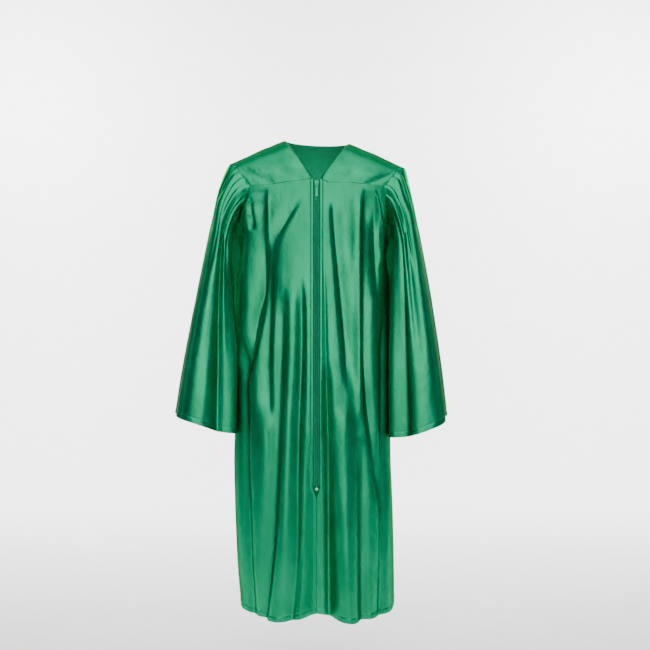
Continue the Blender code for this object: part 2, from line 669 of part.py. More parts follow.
def chain_points(panels):
    """The closed zip chain between the tapes, level with both."""
    top_z = SLIDER_BOTTOM_Z - 2 * SEAM_GAP
    z = zip_heights(panels[0][:, 0], top_z)
    edges = [at_heights(panel[:, 0], z) for panel in panels]
    middle = (edges[0] + edges[1]) / 2
    strip = np.stack([middle, middle], axis=1)
    strip[:, 0, 0], strip[:, 1, 0] = -CHAIN_HALF, CHAIN_HALF
    strip[:, :, 1] += TAPE_BEHIND - CHAIN_PROUD
    return strip


def material(name, colour, roughness, metallic=0.0):
    """A Principled material."""
    made = bpy.data.materials.new(name)
    made.use_nodes = True
    shader = made.node_tree.nodes["Principled BSDF"]
    shader.inputs["Base Color"].default_value = colour
    shader.inputs["Roughness"].default_value = roughness
    shader.inputs["Metallic"].default_value = metallic
    made.diffuse_color = colour
    return made


def add_object(name, mesh, collection, finish):
    """An object with its own material in a collection."""
    mesh.materials.append(finish)
    made = bpy.data.objects.new(name, mesh)
    collection.objects.link(made)
    return made


def grid_mesh(name, points, closed):
    """A grid of points as quads. A closed grid joins its last column to its first."""
    rows, columns = points.shape[:2]
    spans = columns if closed else columns - 1
    faces = []
    for i in range(rows - 1):
        for j in range(spans):
            k = (j + 1) % columns
            faces.append((i * columns + j, (i + 1) * columns + j, (i + 1) * columns + k, i * columns + k))
    mesh = bpy.data.meshes.new(name)
    mesh.from_pydata([tuple(p) for p in points.reshape(-1, 3)], [], faces)
    mesh.update()
    mesh.shade_smooth()
    return mesh


def add_cloth(name, points, collection, finish, outward, wall=WALL):
    """A cloth piece: a grid thickened to its inner side. outward points away from it."""
    mesh = grid_mesh(name, points, False)
    if sum(face.normal.dot(Vector(outward)) * face.area for face in mesh.polygons) < 0:
        mesh.flip_normals()
    made = add_object(name, mesh, collection, finish)
    shell = made.modifiers.new("wall", "SOLIDIFY")
    shell.thickness = wall
    shell.offset = -1
    shell.use_even_offset = False
    return made


def add_sleeve(side, collection, finish):
    """A sleeve, whose rings run round it, thickened to the inside of the tube."""
    points = sleeve_points(side, *SLEEVE_GRID)
    name = f"sleeve_{side.name}"
    mesh = grid_mesh(name, points, True)
    centre = Vector(points[-1].mean(axis=0))
    last = mesh.polygons[-1]
    if last.normal.dot(last.center - centre) < 0:
        mesh.flip_normals()
    made = add_object(name, mesh, collection, finish)
    shell = made.modifiers.new("wall", "SOLIDIFY")
    shell.thickness = WALL
    shell.offset = -1
    return made


def box_into(mesh, low, high):
    """Adds a box between two corners to a bmesh."""
    made = bmesh.ops.create_cube(mesh, size=1)["verts"]
    low, high = Vector(low), Vector(high)
    for vert in made:
        for i in range(3):
            vert.co[i] = low[i] if vert.co[i] < 0 else high[i]


def box_object(name, low, high, collection, finish=None):
    """A box between two corners as an object."""
    mesh = bmesh.new()
    box_into(mesh, low, high)
    bmesh.ops.recalc_face_normals(mesh, faces=mesh.faces)
    data = bpy.data.meshes.new(name)
    mesh.to_mesh(data)
    mesh.free()
    made = bpy.data.objects.new(name, data)
    if finish:
        data.materials.append(finish)
    collection.objects.link(made)
    return made


def combine(target, other, operation, cutters):
    """A Boolean whose second object goes to the cutters' collection."""
    for holder in other.users_collection:
        holder.objects.unlink(other)
    cutters.objects.link(other)
    other.hide_render = True
    other.display_type = "WIRE"
    made = target.modifiers.new(other.name, "BOOLEAN")
    made.operation = operation
    made.object = other


def front_y(z):
    """The y of the plain front at the zip."""
    return -float(body_depth(np.array(z), False))


def zip_frame(collection):
    """An empty on the tapes' face at the slider, leaning as the zip does there."""
    middle_z = (SLIDER_TOP_Z + SLIDER_BOTTOM_Z) / 2
    low_z = SLIDER_BOTTOM_Z - PULL_LENGTH
    lean = math.atan2(front_y(middle_z) - front_y(low_z), middle_z - low_z)
    frame = bpy.data.objects.new("zip_frame", None)
    frame.location = (0, front_y(middle_z) + TAPE_BEHIND, middle_z)
    frame.rotation_euler = (-lean, 0, 0)
    collection.objects.link(frame)
    return frame


def add_slider(frame, collection, cutters, finish):
    """The slider: two plates, a post between the tapes, and the pull tab's bridge."""
    half_z = (SLIDER_TOP_Z - SLIDER_BOTTOM_Z) / 2
    front_face = -(PLATE_CLEAR + PLATE)
    back_inside = TAPE_WALL + PLATE_CLEAR
    bar = BRIDGE_HALF
    reach = front_face - BRIDGE_OUT
    overlap = PLATE / 2
    slider = box_object(
        "zip_slider",
        (-SLIDER_HALF, front_face, -half_z),
        (SLIDER_HALF, front_face + PLATE, half_z),
        collection,
        finish,
    )
    boxes = (
        (
            "slider_post",
            (-POST_HALF, front_face + overlap, -half_z + overlap),
            (POST_HALF, back_inside + overlap, half_z - overlap),
        ),
        (
            "slider_back_plate",
            (-SLIDER_HALF, back_inside, -half_z),
            (SLIDER_HALF, back_inside + PLATE, half_z),
        ),
        (
            "bridge_top",
            (-bar, reach + bar, BRIDGE_TOP - 2 * bar),
            (bar, front_face + overlap, BRIDGE_TOP),
        ),
        (
            "bridge_bottom",
            (-bar, reach + bar, BRIDGE_BOTTOM),
            (bar, front_face + overlap, BRIDGE_BOTTOM + 2 * bar),
        ),
        (
            "bridge_span",
            (-bar, reach, BRIDGE_BOTTOM),
            (bar, reach + 2 * bar, BRIDGE_TOP),
        ),
    )
    slider.parent = frame
    for name, low, high in boxes:
        other = box_object(name, low, high, cutters)
        other.parent = frame
        combine(slider, other, "UNION", cutters)


def add_pull(frame, collection, cutters, finish):
    """The pull tab: a plate with a window, whose top bar turns under the bridge."""
    pivot_y = -(PLATE_CLEAR + PLATE) - (BRIDGE_OUT - 2 * BRIDGE_HALF) / 2
    pivot_z = BRIDGE_BOTTOM + 2 * BRIDGE_HALF + PULL_PIN / 2 + PIN_CLEAR
    pull = box_object(
        "zip_pull",
        (-PULL_HALF, -PULL_WALL / 2, -PULL_LENGTH),
        (PULL_HALF, PULL_WALL / 2, PULL_PIN / 2),
        collection,
        finish,
    )
    window = box_object(
        "pull_window",
        (-WINDOW_HALF, -PULL_WALL, -WINDOW_LENGTH),
        (WINDOW_HALF, PULL_WALL, -PULL_PIN / 2),
        cutters,
    )
    for item in (pull, window):
        item.parent = frame
        item.location = (0, pivot_y, pivot_z)
    combine(pull, window, "DIFFERENCE", cutters)


def add_stop(collection, finish):
    """The bottom stop: a small block pointing up, in front of the chain's end."""
    mesh = bmesh.new()
    top = ZIP_END_Z - SEAM_GAP
    y = front_y(ZIP_END_Z) + TAPE_BEHIND
    outline = (
        (0, top),
        (STOP_HALF, top - STOP_HEIGHT * STOP_SHOULDER),
        (STOP_HALF, top - STOP_HEIGHT),
        (-STOP_HALF, top - STOP_HEIGHT),
        (-STOP_HALF, top - STOP_HEIGHT * STOP_SHOULDER),
    )
    verts = [mesh.verts.new((x, y - STOP_FRONT, z)) for x, z in outline]
    face = mesh.faces.new(verts)
    moved = bmesh.ops.extrude_face_region(mesh, geom=[face])["geom"]
    for item in moved:
        if isinstance(item, bmesh.types.BMVert):
            item.co.y += STOP_DEPTH
    bmesh.ops.recalc_face_normals(mesh, faces=mesh.faces)
    data = bpy.data.meshes.new("zip_bottom_stop")
    mesh.to_mesh(data)
    mesh.free()
    add_object("zip_bottom_stop", data, collection, finish)


def build():
    """The whole gown."""
    for old in list(bpy.data.objects):
        bpy.data.objects.remove(old)
    gown = bpy.data.collections.new(NAME)
    cutters = bpy.data.collections.new("cutters")
    bpy.context.scene.collection.children.link(gown)
    bpy.context.scene.collection.children.link(cutters)

    def satin(name):
        return material(name, GREEN, 0.35)

    panels = []
    for side in SIDES:
        ahead = (0, -1, 0)
        yoke = f"yoke_front_{side.name}"
        add_cloth(yoke, front_yoke_points(side, YOKE_COLUMNS, YOKE_ROWS), gown, satin(yoke), ahead)
        panel = f"front_panel_{side.name}"
        points = front_panel_points(side, FRONT_COLUMNS)
        panels.append(points)
        add_cloth(panel, points, gown, satin(panel), ahead)
        add_sleeve(side, gown, satin(f"sleeve_{side.name}"))
        tape = f"zip_tape_{side.name}"
        woven = material(tape, DARK_GREEN, 0.7)
        add_cloth(tape, tape_points(side, points), gown, woven, ahead, wall=TAPE_WALL)
    behind = (0, 1, 0)
    add_cloth("yoke_back", back_yoke_points(BACK_YOKE_COLUMNS, YOKE_ROWS), gown, satin("yoke_back"), behind)
    add_cloth("back_panel", back_panel_points(BACK_COLUMNS), gown, satin("back_panel"), behind)
    chain = chain_points(panels)
    finish = material("zip_chain", DARK_GREEN, 0.4)
    add_cloth("zip_chain", chain, gown, finish, (0, -1, 0), wall=CHAIN_DEPTH)
    metal = material("zip_slider", DARK_GREEN, 0.35, 0.3)
    frame = zip_frame(gown)
    add_slider(frame, gown, cutters, metal)
    add_pull(frame, gown, cutters, material("zip_pull", DARK_GREEN, 0.35, 0.3))
    add_stop(gown, material("zip_bottom_stop", MINT, 0.4))


build()
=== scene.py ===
import math
from collections import namedtuple

import bmesh
import bpy
import numpy as np
from mathutils import Matrix, Vector


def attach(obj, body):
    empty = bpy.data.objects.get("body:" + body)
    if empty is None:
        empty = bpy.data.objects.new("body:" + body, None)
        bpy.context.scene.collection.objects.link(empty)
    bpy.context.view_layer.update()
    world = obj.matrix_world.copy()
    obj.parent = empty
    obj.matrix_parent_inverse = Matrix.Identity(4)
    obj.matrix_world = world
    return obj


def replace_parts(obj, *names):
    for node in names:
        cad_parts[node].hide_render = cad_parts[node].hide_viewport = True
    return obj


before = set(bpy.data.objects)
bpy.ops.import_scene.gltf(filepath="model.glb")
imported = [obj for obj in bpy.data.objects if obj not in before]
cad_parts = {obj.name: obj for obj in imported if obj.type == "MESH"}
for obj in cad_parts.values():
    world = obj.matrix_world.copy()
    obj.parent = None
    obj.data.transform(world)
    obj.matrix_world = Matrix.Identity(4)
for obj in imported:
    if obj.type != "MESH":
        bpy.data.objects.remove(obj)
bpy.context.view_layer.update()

# Cloth and seams
WALL = 0.0016
TAPE_WALL = 0.0010
SEAM_GAP = 0.0004
ARMHOLE_GAP = 0.0012
SHOULDER_GAP = 0.0016
ROUNDNESS = 2.25  # exponent of the body's rounded sections

# Neck and shoulders
NECK_HALF_WIDTH = 0.0896
NECK_TILT = 0.004  # the right neck point is this much higher, the left one lower
NECK_BACK = 0.062
NECK_BACK_DROP = 0.0005
NECK_SHARE = 0.45  # share of the back yoke's upper edge that is the neck
V_HALF_WIDTH = 0.0105  # half the space between the front edges at the V
V_DROP = 0.1165

Side = namedtuple("Side", "name sign tip_x tip_z neck_z")
RIGHT = Side("right", -1, 0.2335, -0.0590, NECK_TILT)
LEFT = Side("left", 1, 0.2352, -0.0700, -NECK_TILT)
SIDES = (RIGHT, LEFT)

# Front yoke seam: distance from the middle, height of the seam on each side
YokeSeam = namedtuple("YokeSeam", "x right_z left_z")
FRONT_SEAM = (
    YokeSeam(0.0105, -0.1165, -0.1165),
    YokeSeam(0.0350, -0.1200, -0.1270),
    YokeSeam(0.0730, -0.1245, -0.1270),
    YokeSeam(0.1240, -0.1320, -0.1300),
    YokeSeam(0.1810, -0.1367, -0.1367),
)
CORNER_X = 0.181
CORNER_FRONT = 0.092
CORNER_BACK = 0.100
CORNER_Z = -0.1367

BACK_SEAM_MIDDLE_Z = -0.150
BACK_SEAM_POWER = 2  # how it rises from there to the corners

# Armholes below the yokes: half width of the body and how far the edges lie from y 0
Armhole = namedtuple("Armhole", "z x front back")
ARMHOLES = {
    "right": (
        Armhole(-0.1367, 0.1810, 0.092, 0.100),
        Armhole(-0.1720, 0.1960, 0.083, 0.092),
        Armhole(-0.1950, 0.2045, 0.070, 0.078),
        Armhole(-0.2250, 0.2120, 0.049, 0.054),
        Armhole(-0.2500, 0.2165, 0.027, 0.030),
        Armhole(-0.2670, 0.2185, 0.0004, 0.0004),
    ),
    "left": (
        Armhole(-0.1367, 0.1810, 0.092, 0.100),
        Armhole(-0.1700, 0.1870, 0.083, 0.092),
        Armhole(-0.2020, 0.1920, 0.067, 0.074),
        Armhole(-0.2350, 0.1965, 0.045, 0.050),
        Armhole(-0.2560, 0.1992, 0.025, 0.028),
        Armhole(-0.2740, 0.2005, 0.0004, 0.0004),
    ),
}

# Body sections: half widths to each side, depth in front and behind
Level = namedtuple("Level", "z right left front back")
BODY = (
    Level(-0.110, 0.1810, 0.1810, 0.1050, 0.1130),
    Level(-0.180, 0.1990, 0.1890, 0.1110, 0.1190),
    Level(-0.270, 0.2185, 0.2005, 0.1230, 0.1280),
    Level(-0.360, 0.2240, 0.2028, 0.1270, 0.1310),
    Level(-0.450, 0.2265, 0.2036, 0.1310, 0.1350),
    Level(-0.650, 0.2285, 0.2044, 0.1390, 0.1430),
    Level(-0.800, 0.2300, 0.2050, 0.1450, 0.1500),
    Level(-0.880, 0.2315, 0.2060, 0.1480, 0.1540),
    Level(-1.000, 0.2300, 0.2110, 0.1540, 0.1600),
    Level(-1.150, 0.2235, 0.2150, 0.1610, 0.1670),
    Level(-1.300, 0.2110, 0.2160, 0.1680, 0.1730),
)
HEM_SIDE_Z = -1.276
HEM_SIDE_POWER = 4  # how late the hem rises towards the sides
HEM_FRONT_Z = -1.303
HEM_MIDDLE_Z = -1.286
HEM_MIDDLE_HALF = 0.070
HEM_BACK_Z = -1.302
SEAM_FADE = 0.030  # folds die out this close to a side seam
YOKE_FADE = 0.022  # and grow over this length below a yoke

# Shares of a fold's length over which it grows and dies out, if it ends above hem_z
Growth = namedtuple("Growth", "rise fall hem_z")
FOLD_GROWTH = Growth(0.10, 0.16, HEM_BACK_Z)
CREASE_GROWTH = Growth(0.06, 0.10, -1.25)

# Folds and creases run down from start to end, through evenly spaced places across the
# cloth, with evenly spaced depths and widths. A positive depth is a trough, a negative one
# a ridge. A sharp of 2 is round, nearer 1 keener. Skew makes the side towards +X wider.
Crease = namedtuple("Crease", "start end x deep wide sharp skew", defaults=(1.0,))
FRONT_FOLDS = (
    Crease(-0.128, -0.700, (-0.141, -0.148, -0.200), (0.006, 0.013), (0.020, 0.030), 2, 0.36),
    Crease(-0.160, -0.800, (-0.045, -0.1215, -0.129, -0.134, -0.128), (0.012, 0.010),
        (0.024, 0.030), 2, 0.42),
    Crease(-0.400, -1.320, (-0.090, -0.096, -0.106, -0.121, -0.150), (0.007, 0.018),
        (0.022, 0.032), 2, 0.5),
    Crease(-0.380, -1.320, (-0.040, -0.040, -0.049, -0.052, -0.070), (0.006, 0.016),
        (0.016, 0.024), 2, 0.5),
    Crease(-0.170, -0.620, (-0.186, -0.192, -0.194), (-0.009, -0.009), (0.020, 0.022), 2),
    Crease(-0.500, -1.320, (-0.200, -0.194, -0.182), (0.006, 0.018), (0.014, 0.019), 2),
    Crease(-0.160, -0.260, (-0.187, -0.181, -0.174), (0.004, 0.004), (0.008, 0.008), 2),
    Crease(-0.170, -0.700, (0.042, 0.064, 0.088), (0.010, 0.009), (0.008, 0.010), 2, 2.8),
    Crease(-0.128, -1.050, (0.134, 0.130, 0.180), (0.010, 0.011), (0.007, 0.011), 2, 2.4),
    Crease(-0.150, -0.360, (0.163, 0.180, 0.174), (-0.005, -0.004), (0.008, 0.009), 2),
    Crease(-0.600, -1.320, (0.026, 0.034, 0.042), (0.006, 0.022), (0.010, 0.017), 2),
    Crease(-0.720, -1.320, (0.074, 0.078, 0.086), (-0.004, -0.013), (0.022, 0.026), 2),
    Crease(-0.760, -1.320, (0.118, 0.124, 0.132), (0.004, 0.016), (0.015, 0.019), 2),
    Crease(-0.500, -1.320, (0.176, 0.182, 0.180), (0.004, 0.014), (0.013, 0.017), 2),
    Crease(-0.800, -1.340, (0.002, 0.003, 0.004), (0.002, 0.052), (0.030, 0.046), 2),
)
BACK_FOLDS = (
    Crease(-0.150, -1.320, (-0.152, -0.166, -0.176), (0.008, 0.020), (0.010, 0.019), 2),
    Crease(-0.150, -0.560, (-0.124, -0.130, -0.141), (0.009, 0.006), (0.010, 0.012), 2),
    Crease(-0.150, -1.320, (-0.096, -0.106, -0.122), (0.010, 0.024), (0.010, 0.021), 2, 1.2),
    Crease(-0.150, -0.700, (-0.066, -0.072, -0.084), (0.009, 0.010), (0.010, 0.013), 2),
    Crease(-0.150, -1.320, (-0.038, -0.048, -0.060), (0.010, 0.022), (0.010, 0.020), 2, 0.9),
    Crease(-0.150, -1.320, (-0.010, -0.006, 0.004), (0.009, 0.024), (0.010, 0.021), 2),
    Crease(-0.150, -0.640, (0.020, 0.027, 0.036), (0.009, 0.010), (0.010, 0.012), 2),
    Crease(-0.150, -1.320, (0.047, 0.056, 0.066), (0.010, 0.023), (0.010, 0.020), 2, 1.1),
    Crease(-0.150, -0.600, (0.076, 0.083, 0.092), (0.009, 0.006), (0.010, 0.012), 2),
    Crease(-0.150, -1.320, (0.104, 0.116, 0.126), (0.010, 0.022), (0.010, 0.020), 2),
    Crease(-0.150, -0.760, (0.132, 0.142, 0.152), (0.009, 0.010), (0.010, 0.012), 2),
    Crease(-0.150, -1.320, (0.156, 0.168, 0.176), (0.008, 0.018), (0.010, 0.018), 2),
)

# Sleeve sections along its length: outer and inner lines, depth to each side of y 0
Sleeve = namedtuple("Sleeve", "along outer_x outer_z inner_x inner_z half_depth")
SLEEVES = {
    "right": (
        Sleeve(0.00, 0.2343, -0.0590, 0.2200, -0.2680, 0.096),
        Sleeve(0.05, 0.2560, -0.0790, 0.2235, -0.2800, 0.101),
        Sleeve(0.12, 0.2710, -0.1200, 0.2262, -0.3020, 0.105),
        Sleeve(0.24, 0.2860, -0.1900, 0.2282, -0.3560, 0.108),
        Sleeve(0.45, 0.3200, -0.3480, 0.2300, -0.4800, 0.114),
        Sleeve(0.65, 0.3520, -0.5000, 0.2318, -0.5980, 0.120),
        Sleeve(0.85, 0.3800, -0.6460, 0.2338, -0.7200, 0.126),
        Sleeve(1.00, 0.3976, -0.7560, 0.2352, -0.8120, 0.130),
    ),
    "left": (
        Sleeve(0.00, 0.2360, -0.0700, 0.2020, -0.2750, 0.096),
        Sleeve(0.05, 0.2520, -0.0860, 0.2052, -0.2870, 0.101),
        Sleeve(0.12, 0.2590, -0.1280, 0.2072, -0.3090, 0.105),
        Sleeve(0.24, 0.2740, -0.1960, 0.2082, -0.3620, 0.108),
        Sleeve(0.45, 0.3050, -0.3540, 0.2088, -0.4850, 0.114),
        Sleeve(0.65, 0.3310, -0.5060, 0.2094, -0.6020, 0.120),
        Sleeve(0.85, 0.3530, -0.6520, 0.2100, -0.7250, 0.126),
        Sleeve(1.00, 0.3657, -0.7620, 0.2106, -0.8190, 0.130),
    ),
}
CAP_BLEND = 0.22  # share of the sleeve over which the armhole's shape turns into a tube
CUFF_DIP = {"right": -0.004, "left": 0.008}  # the cuff's front and back hang this much low
CAP_PUFF = 0.005
CAP_PUFF_END = 0.35
CAP_LIFT = 0.5  # how much the puff rises at the shoulder tip
CAP_REACH = 0.4  # how far past the sides of the tube the puff goes
TUBE_POWER = 0.88  # below 1 makes the tube's section squarer than an ellipse
TUBE_DEEPER = 1.4  # folds push in more from front and back by this factor
CAP_CROWD = 0.35  # how much the columns crowd towards the cap
CAP_CROWD_POWER = 1.6

# Sleeve folds: degrees round from the outer line, towards the front when positive
SleeveFold = namedtuple(
    "SleeveFold", "start end turn_top turn_end deep_top deep_end wide_top wide_end"
)
SLEEVE_FOLDS = {
    "right": (
        SleeveFold(0.00, 0.34, 14, 16, 0.0060, 0.001, 8, 10),
        SleeveFold(0.00, 0.38, 38, 36, 0.0065, 0.001, 8, 10),
        SleeveFold(0.00, 0.40, 62, 60, 0.0060, 0.001, 8, 10),
        SleeveFold(0.30, 1.10, 24, 20, 0.0020, 0.008, 9, 13),
        SleeveFold(0.08, 1.10, 152, 152, -0.0130, -0.024, 13, 11),
        SleeveFold(0.00, 0.46, -12, -14, 0.0060, 0.002, 8, 10),
        SleeveFold(0.00, 0.60, -36, -34, 0.0065, 0.004, 8, 10),
        SleeveFold(0.00, 1.10, -60, -56, 0.0065, 0.012, 8, 12),
        SleeveFold(0.00, 0.46, -84, -82, 0.0055, 0.003, 8, 10),
        SleeveFold(0.05, 1.10, -110, -104, 0.0050, 0.012, 9, 12),
        SleeveFold(0.08, 1.10, -152, -152, -0.0120, -0.022, 13, 11),
    ),
    "left": (
        SleeveFold(0.00, 0.34, 12, 14, 0.0060, 0.001, 8, 10),
        SleeveFold(0.00, 0.38, 38, 36, 0.0065, 0.001, 8, 10),
        SleeveFold(0.00, 0.40, 68, 66, 0.0060, 0.001, 8, 10),
        SleeveFold(0.30, 1.10, 26, 22, 0.0020, 0.009, 9, 13),
        SleeveFold(0.08, 1.10, 152, 152, -0.0130, -0.023, 13, 11),
        SleeveFold(0.00, 0.46, -14, -12, 0.0060, 0.002, 8, 10),
        SleeveFold(0.00, 0.56, -38, -36, 0.0065, 0.003, 8, 10),
        SleeveFold(0.00, 1.10, -62, -58, 0.0065, 0.013, 8, 12),
        SleeveFold(0.00, 0.50, -86, -84, 0.0055, 0.003, 8, 10),
        SleeveFold(0.05, 1.10, -112, -108, 0.0050, 0.011, 9, 12),
        SleeveFold(0.08, 1.10, -152, -152, -0.0120, -0.021, 13, 11),
    ),
}
ROOT_RISE = 0.05  # share of the sleeve over which gathers grow from the seam
SLEEVE_FOLD_RISE = 0.12  # share of a fold's length over which it grows
SLEEVE_FOLD_FALL = 0.25  # and dies out, where it ends above the cuff

# Zip
EDGE_OPEN = 0.0095  # each folded front edge lies this far from the middle at the zip
EDGE_SHUT = 0.0006  # and this far below it, where the fronts hang edge to edge
ZIP_END_Z = -0.943
EDGE_CLOSED_Z = -0.975
TAPE_BEHIND = WALL + 0.0016
CHAIN_HALF = 0.0024
CHAIN_DEPTH = 0.0022
CHAIN_PROUD = 0.0006
SLIDER_TOP_Z = -0.1225
SLIDER_BOTTOM_Z = -0.1385
SLIDER_HALF = 0.0058
PLATE = 0.0016
PLATE_CLEAR = 0.0012  # from the tapes to each plate
POST_HALF = 0.0014
BRIDGE_HALF = 0.0009  # half the thickness of the bridge's bars
BRIDGE_OUT = 0.0040
BRIDGE_TOP = 0.0055  # above the slider's middle
BRIDGE_BOTTOM = -0.0045
PULL_PIN = 0.0014
PIN_CLEAR = 0.0005
PULL_HALF = 0.0038
PULL_LENGTH = 0.0340
PULL_WALL = 0.0014
WINDOW_HALF = 0.0019
WINDOW_LENGTH = 0.0090
STOP_HALF = 0.0042
STOP_HEIGHT = 0.0075
STOP_SHOULDER = 0.55  # share of the height that its point takes
STOP_FRONT = 0.0012  # from the tapes' face to the stop's
STOP_DEPTH = 0.0024

# Finer cloth of the dressed model
SHELL = 0.0007
WELD = 1e-6  # points of a sleeve's first and last column this close are one
CLOTH_MAP = "cloth"  # name of the UV map
TUCK_UNDER = 0.0016  # how far an edge turns in below its neighbour
TUCK_LENGTH = 0.0045
TUCK_STEPS = ((0.30, 1.5), (0.25, 0.55))  # shares of both at the edge and before it
HEM_STITCH = 0.015  # from the hem's edge to its stitch line
PLACKET = 0.0082  # from the folded front edge to its stitch line
NECK_STITCH = 0.0062
GROOVE_DEEP = 0.0006
GROOVE_WIDE = 0.0014
NECK_ROLL = 0.0040  # how far the neck edge rolls in
NECK_ROLL_WIDE = 0.0070
NECK_ROLL_ROUND = 0.98  # how nearly its section is a full quarter round
NECK_STITCH_FRONT = 0.002  # the front's stitches lie this much further in
NECK_END = 0.02  # share over which the back's rim ends at the shoulders
NECK_PROUD = 0.0006
NECK_STEP = 0.003
HEM_PROUD = 0.0005  # how far the cloth folded up at a hem stands out, and its step
HEM_STEP = 0.004
PLACKET_PROUD = 0.0007
PLACKET_STEP = 0.003
PLACKET_SHUT_GROW = 0.05  # length below the zip over which the placket eases
PLACKET_EASED = 0.6
FLAT_EDGE = 0.004  # no fine creases this close to a front edge
FLAT_FADE = 0.012
PUCKER = 0.00045  # small puckers between the hem's stitches
PUCKER_ACROSS = 0.009
PUCKER_DOWN = 0.03
PUCKER_REACH = 0.014

YOKE_ROWS = 60
FRONT_YOKE_COLUMNS = 96
BACK_YOKE_COLUMNS = 200
ARMHOLE_ROWS = 60
LOWER_SHARES = np.concatenate([np.linspace(0, 0.965, 150), np.linspace(0.965, 1, 26)[1:]])
FRONT_SHARES = np.concatenate([np.linspace(0, 0.06, 14), np.linspace(0.06, 1, 140)[1:]])
BACK_GRID = 190
SLEEVE_COLUMNS = 216
SLEEVE_SHARES = np.concatenate(
    [np.linspace(0, 0.25, 70), np.linspace(0.25, 0.95, 90)[1:], np.linspace(0.95, 1, 18)[1:]]
)

# Finer creases of the fronts and the back
FRONT_CREASES = (
    Crease(-0.149, -0.619, (-0.1325, -0.1304, -0.1379, -0.1657, -0.1832),
        (-0.003, -0.001, 0.005, 0.005, 0.0), (0.016, 0.014, 0.014, 0.018, 0.018), 1.5, 0.25),
    Crease(-0.168, -0.766,
        (-0.0440, -0.0957, -0.1211, -0.1251, -0.1292, -0.1321, -0.1337, -0.1338, -0.1318),
        (-0.003, -0.004, -0.003, 0.001, 0.004, 0.005, 0.004, 0.003, 0.0),
        (0.014, 0.022, 0.024, 0.024, 0.024), 1.8, 0.42),
    Crease(-0.419, -1.310, (-0.0890, -0.0965, -0.1047, -0.1140, -0.1275, -0.1530),
        (0.0, 0.005, 0.005, 0.005, 0.006, 0.005), (0.022, 0.026, 0.026, 0.024, 0.024, 0.028), 1.8,
        0.45),
    Crease(-0.344, -1.310, (-0.0417, -0.0379, -0.0463, -0.0510, -0.0552, -0.0711),
        (0.0, 0.004, 0.005, 0.005, 0.005, 0.006), (0.012, 0.016, 0.018, 0.018, 0.02, 0.024), 1.7,
        0.4),
    Crease(-0.264, -1.310, (0.0160, 0.0226, 0.0276, 0.0358, 0.0368, 0.0464),
        (0.0, 0.003, 0.004, 0.005, 0.006, 0.006), (0.006, 0.01, 0.012, 0.013, 0.014, 0.015), 1.7,
        0.45),
    Crease(-0.181, -0.627, (0.0400, 0.0563, 0.0642, 0.0749, 0.0838),
        (-0.002, -0.002, 0.003, 0.004, 0.0), (0.005, 0.009, 0.01, 0.009, 0.006), 1.7, 2.6),
    Crease(-0.149, -1.006, (0.1292, 0.1214, 0.1252, 0.1355, 0.1563, 0.1786),
        (0.005, 0.006, 0.005, 0.005, 0.004, 0.0), (0.003, 0.003, 0.004, 0.004, 0.004, 0.005), 1.3,
        3.6),
    Crease(-0.672, -1.310, (0.1479, 0.1287, 0.1282, 0.1280, 0.1265),
        (0.0, 0.005, 0.006, 0.006, 0.006), (0.016, 0.018, 0.018, 0.016, 0.016), 2.0, 1.6),
    Crease(-0.584, -1.310, (-0.1965, -0.1964, -0.2003, -0.2010, -0.1965),
        (0.0, 0.004, 0.005, 0.004, 0.005), (0.012, 0.016, 0.016, 0.014, 0.014), 1.8, 0.6),
    Crease(-0.774, -0.913, (-0.1351, -0.1324, -0.1298, -0.1298), (0.0, 0.0015, 0.0015, 0.0),
        (0.006, 0.005, 0.005, 0.006), 1.6),
    Crease(-0.176, -0.253, (-0.1792, -0.1746, -0.1685), (0.002, 0.004, 0.0),
        (0.004, 0.004, 0.004), 1.4),
    Crease(-0.445, -0.899, (0.1799, 0.1812, 0.1801, 0.1813), (0.0, 0.004, 0.004, 0.0),
        (0.008, 0.01, 0.01, 0.008), 1.8),
    Crease(-0.993, -1.310, (0.1532, 0.1558, 0.1608, 0.1612), (0.0, 0.005, 0.006, 0.006),
        (0.01, 0.012, 0.013, 0.014), 1.9, 1.4),
    Crease(-0.445, -0.819, (-0.0136, -0.0142, -0.0180, -0.0230), (0.0, 0.001, 0.0015, 0.0),
        (0.003, 0.003, 0.003, 0.003), 1.6),
    Crease(-1.086, -1.310, (-0.0363, -0.0435, -0.0506, -0.0550), (0.0, 0.004, 0.005, 0.006),
        (0.006, 0.006, 0.006, 0.007), 1.5),
    Crease(-0.144, -0.312, (0.1626, 0.1785, 0.1857, 0.1879), (0.003, 0.004, 0.003, 0.0),
        (0.003, 0.004, 0.004, 0.005), 1.4),
    Crease(-0.150, -0.660, (-0.2070, -0.2160, -0.2190, -0.2200), (-0.005, -0.014, -0.014, -0.006),
        (0.018, 0.024, 0.024, 0.020), 2.0),
    Crease(-0.150, -0.460, (0.1560, 0.1600, 0.1620, 0.1640), (0.005, 0.011, 0.008, 0.0),
        (0.024, 0.028, 0.026, 0.020), 2.2, 0.35),
    Crease(-0.150, -0.900, (0.1190, 0.1150, 0.1160, 0.1240), (-0.003, -0.006, -0.006, 0.0),
        (0.010, 0.011, 0.012, 0.012), 2.0),
)

